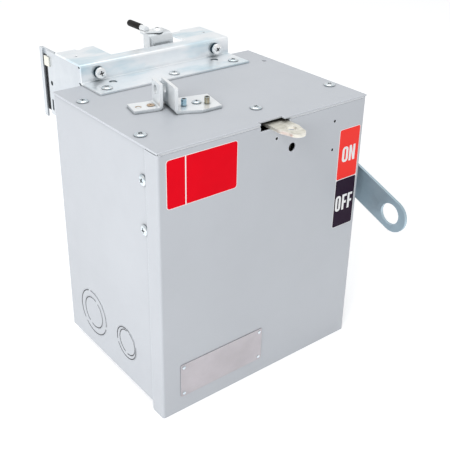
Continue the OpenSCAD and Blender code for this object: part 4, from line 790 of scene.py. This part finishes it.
# Floors and rings of the holes in the bracket's foot and of the spare hole. The light discs on the floors are
# painted light, and the dark rings in the foot's holes are painted shade.
FOOT_HOLES, FOOT_HOLE_Y = (59, 182), 165
FLOOR_UP, RING_UP = 0.8, 1.7
lit_floors = bmesh.new()
for x in FOOT_HOLES:
    disc(lit_floors, at(x, FOOT_HOLE_Y, BOX_H + FLOOR_UP), 3.9, 0.5)
disc(lit_floors, ear_point(*SPARE_HOLE, 2.5), 2.9, 0.8)
piece("lit_hole_floors", lit_floors, "lit_hole_floor", "enclosure")
seated("spare_hole_ring", [(ring(2.25, 2.95, -0.5, 0.0), UP, ear_point(*SPARE_HOLE, 2.9))], "tan_screw")
foot_rings = [(ring(3.2, 3.95, -0.5, 0.0), UP, at(x, FOOT_HOLE_Y, BOX_H + RING_UP)) for x in FOOT_HOLES]
seated("foot_hole_rings", foot_rings, "zinc_in_painted_shade")

# Black discs in the cover's pilot holes, painted shade in the holes: place across the cover and drop from the
# top of the box
PILOTS = ((126, 18.1), (197.8, 18.1), (197.6, 47))
PILOT_R, PILOT_T, PILOT_DEPTH = 1.48, 0.8, 0.65
pilot_shade = bmesh.new()
for x, drop in PILOTS:
    got = bmesh.ops.create_cone(pilot_shade, cap_ends=True, segments=20, radius1=PILOT_R * MM,
                                radius2=PILOT_R * MM, depth=PILOT_T * MM)
    bmesh.ops.rotate(pilot_shade, verts=got["verts"], matrix=Matrix.Rotation(math.radians(90), 3, "X"))
    bmesh.ops.translate(pilot_shade, verts=got["verts"], vec=at(x, PILOT_DEPTH, BOX_H - drop))
piece("pilot_hole_shade", pilot_shade, "black", "cover")

# Painted hem that narrows the gap between cover and top panel, left and right of the latch; a guess. Its
# lighter paint is a painted highlight along the top edge, where the gap would show shade.
HEM_SPANS = ((2.0, 106.5), (141.5, 236.0))
HEM_Y, HEM_Z = (0.35, 1.5), (263.8, 265.05)
hem = bmesh.new()
for x0, x1 in HEM_SPANS:
    got = bmesh.ops.create_cube(hem, size=1)
    lo, hi = at(x0, HEM_Y[0], HEM_Z[0]), at(x1, HEM_Y[1], HEM_Z[1])
    for v in got["verts"]:
        v.co = Vector([lo[k] if v.co[k] < 0 else hi[k] for k in range(3)])
piece("cover_hem", hem, "hem_highlight_paint", "cover")


# ---- Labels ----

# Back and front of each layer out of the cover's face
VINYL, INK, SIDE_INK, LETTERING = (0.01, 0.12), (0.12, 0.16), (0.12, 0.15), (0.16, 0.2)


def on_cover(cx, cz):
    """Frame on the cover's face: u to the right, v up, depth out of the face, all in mm."""
    def place(u, v, depth):
        return at(cx + u, -depth, cz + v)
    return place


def moved(points, dx):
    """Points moved along u."""
    return [(x + dx, y) for x, y in points]


STROKE = 2.85


def letter_o(w, h):
    """Outline and hole of an O."""
    hole_w, hole_h = w - 2 * STROKE, h - 2 * STROKE * 0.85
    return rounded(w, h, w * 0.46, 8), [rounded(hole_w, hole_h, hole_w * 0.48, 8)]


def letter_n(w, h):
    """Outline of an N, and no hole."""
    x, y, s = w / 2, h / 2, STROKE * 0.95
    return [(-x, -y), (-x + s, -y), (-x + s, y - 2.3 * s), (x - s * 1.05, -y), (x, -y),
            (x, y), (x - s, y), (x - s, -y + 2.3 * s), (-x + s * 1.05, y), (-x, y)], []


def letter_f(w, h):
    """Outline of an F, and no hole."""
    x, y, s = w / 2, h / 2, STROKE
    return [(-x, -y), (-x + s, -y), (-x + s, -s * 0.55), (x * 0.8, -s * 0.55), (x * 0.8, s * 0.4),
            (-x + s, s * 0.4), (-x + s, y - s * 0.9), (x, y - s * 0.9), (x, y), (-x, y)], []


def word(name, letters, place, mat):
    """One piece from (letter, width, height, place along u) rows."""
    bm = bmesh.new()
    for make, w, h, dx in letters:
        outline, holes = make(w, h)
        sheet_of(bm, moved(outline, dx), [moved(q, dx) for q in holes], place, *LETTERING)
    piece(name, bm, mat, "cover")


def film(name, w, h, r, place, mat, layer):
    """Thin rounded rectangle on the cover."""
    bm = bmesh.new()
    sheet_of(bm, rounded(w, h, r), [], place, *layer)
    piece(name, bm, mat, "cover")


# Switch position label: red over dark, on one white vinyl film
LABEL_X, LABEL_Z = 220.1, 184.3
FIELD_W, FIELD_H, FIELD_R, FIELD_RISE = 26.8, 52.3, 1.8, 26.55
film("position_label_film", 27.8, 106.4, 2.4, on_cover(LABEL_X, LABEL_Z), "white_ink", VINYL)
film("position_label_red", FIELD_W, FIELD_H, FIELD_R, on_cover(LABEL_X, LABEL_Z + FIELD_RISE),
     "signal_red", INK)
film("position_label_dark", FIELD_W, FIELD_H, FIELD_R, on_cover(LABEL_X, LABEL_Z - FIELD_RISE),
     "dark_ink", INK)
ON_WORD = [(letter_o, 8.0, 16.2, -4.7), (letter_n, 7.9, 16.2, 4.7)]
OFF_WORD = [(letter_o, 7.4, 17, -8.0), (letter_f, 6.2, 17, 0.6), (letter_f, 6.2, 17, 8.2)]
word("word_on", ON_WORD, on_cover(220.5, 210.4), "white_ink")
word("word_off", OFF_WORD, on_cover(220.0, 157.6), "white_ink")

# Bare red label: place, and height and corner of its two fields
SIDE_X, SIDE_Z = 45.2, 236.0
RED_H, RED_R = 43.9, 2.6


def red_field(name, x0, x1, left):
    """Field of the red label between two places across the cover, rounded on its outer side."""
    w = x1 - x0
    x, y = w / 2, RED_H / 2
    corners = rounded(w, RED_H, RED_R)
    n = len(corners) // 4
    right_top, left_top, left_low, right_low = (corners[i * n:(i + 1) * n] for i in range(4))
    if left:
        outline = [(x, y)] + left_top + left_low + [(x, -y)]
    else:
        outline = right_top + [(-x, y), (-x, -y)] + right_low
    bm = bmesh.new()
    sheet_of(bm, outline, [], on_cover((x0 + x1) / 2, SIDE_Z), *SIDE_INK)
    piece(name, bm, "red_ink", "cover")


film("side_label_film", 73.6, 45.0, 3.1, on_cover(SIDE_X, SIDE_Z), "white_ink", VINYL)
red_field("side_label_left", 8.95, 27.1, True)
red_field("side_label_right", 28.3, 81.45, False)

PLATE_X, PLATE_Z, PLATE_W, PLATE_H = 69, 29.5, 98, 37
RIVETS = [(x, z) for x in (-45.5, 45.5) for z in (-15, 15)]
RIVET_BORE_R, RIVET_R, RIVET_FLAT, RIVET_SEAT = 1.1, 1.9, 0.55, 0.75


def name_plate():
    """Bare plate with soft edges, held by four domed rivets."""
    place = on_cover(PLATE_X, PLATE_Z)
    bm = bmesh.new()
    turns = [i * math.pi / 6 for i in range(12)]
    holes = [[(x + RIVET_BORE_R * math.cos(a), z + RIVET_BORE_R * math.sin(a)) for a in turns]
             for x, z in RIVETS]
    sheet_of(bm, rounded(PLATE_W, PLATE_H, 1.5), holes, place, 0.02, 0.8)
    soften(piece("name_plate", bm, "plate", "cover"), 0.00025, 2)
    for i, (x, z) in enumerate(RIVETS):
        bm = bmesh.new()
        bmesh.ops.create_uvsphere(bm, u_segments=20, v_segments=10, radius=RIVET_R * MM)
        bmesh.ops.bisect_plane(bm, geom=bm.verts[:] + bm.edges[:] + bm.faces[:], plane_co=(0, 0, 0),
                               plane_no=(0, 1, 0), clear_outer=True)
        for v in bm.verts:
            v.co.y *= RIVET_FLAT
            v.co += place(x, z, RIVET_SEAT)
        piece("plate_rivet_%d" % i, bm, "zinc_screw", "cover", True)


name_plate()


# ---- Studio ----

def ray_mask(tree, rays):
    """1 for any of the named kinds of ray, 0 for the others."""
    path = tree.nodes.new("ShaderNodeLightPath")
    mask = path.outputs[rays[0]]
    for ray in rays[1:]:
        either = tree.nodes.new("ShaderNodeMath")
        either.operation = "MAXIMUM"
        tree.links.new(mask, either.inputs[0])
        tree.links.new(path.outputs[ray], either.inputs[1])
        mask = either.outputs[0]
    return mask


def blend(tree, mask, off, on, out):
    """Shows the shader off where the mask is 0 and the shader on where it is 1."""
    mix = tree.nodes.new("ShaderNodeMixShader")
    tree.links.new(mask, mix.inputs[0])
    tree.links.new(off.outputs[0], mix.inputs[1])
    tree.links.new(on.outputs[0], mix.inputs[2])
    tree.links.new(mix.outputs[0], out.inputs[0])


def pale_floor():
    """Pale floor under the part, which glows a little where it is seen directly or in metal."""
    mesh = bpy.data.meshes.new("floor")
    bm = bmesh.new()
    bmesh.ops.create_grid(bm, x_segments=1, y_segments=1, size=6)
    bm.to_mesh(mesh)
    bm.free()
    floor = bpy.data.objects.new("floor", mesh)
    floor.location.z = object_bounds()[0].z - 0.2 * MM
    bpy.context.scene.collection.objects.link(floor)
    mat = bpy.data.materials.new("floor")
    mat.use_nodes = True
    tree = mat.node_tree
    tree.nodes.clear()
    out = tree.nodes.new("ShaderNodeOutputMaterial")
    diffuse = tree.nodes.new("ShaderNodeBsdfDiffuse")
    diffuse.inputs["Color"].default_value = (0.9, 0.9, 0.9, 1)
    glow = tree.nodes.new("ShaderNodeEmission")
    glow.inputs["Strength"].default_value = 0.35
    lit = tree.nodes.new("ShaderNodeAddShader")
    tree.links.new(diffuse.outputs[0], lit.inputs[0])
    tree.links.new(glow.outputs[0], lit.inputs[1])
    blend(tree, ray_mask(tree, ("Is Camera Ray", "Is Glossy Ray")), diffuse, lit, out)
    mesh.materials.append(mat)


def white_world():
    """Soft even light, which looks white in the background and in metal."""
    world = bpy.data.worlds.new("studio")
    bpy.context.scene.world = world
    world.use_nodes = True
    tree = world.node_tree
    tree.nodes.clear()
    out = tree.nodes.new("ShaderNodeOutputWorld")
    lit = tree.nodes.new("ShaderNodeBackground")
    lit.inputs["Strength"].default_value = 0.62
    lit.inputs["Color"].default_value = (0.97, 0.985, 1.0, 1)
    white = tree.nodes.new("ShaderNodeBackground")
    white.inputs["Strength"].default_value = 1.0
    blend(tree, ray_mask(tree, ("Is Camera Ray", "Is Transmission Ray", "Is Glossy Ray")), lit, white, out)


def lamp(name, place, aim, size, watts, seen_in_metal=True):
    """Rectangular soft lamp that points at a place."""
    data = bpy.data.lights.new(name, "AREA")
    data.shape, data.size, data.size_y = "RECTANGLE", size[0], size[1]
    data.energy = watts
    obj = bpy.data.objects.new(name, data)
    obj.location = place
    obj.rotation_euler = (Vector(aim) - Vector(place)).to_track_quat("-Z", "Y").to_euler()
    obj.visible_glossy = seen_in_metal
    bpy.context.scene.collection.objects.link(obj)


pale_floor()
white_world()
lamp("key", (-1.5, -0.7, 1.1), (0, 0, 0.13), (1.0, 1.2), 22, seen_in_metal=False)
lamp("top", (0.2, 0.3, 1.7), (0, 0, 0.1), (1.0, 1.0), 5)
bpy.context.scene.view_settings.view_transform = "Standard"
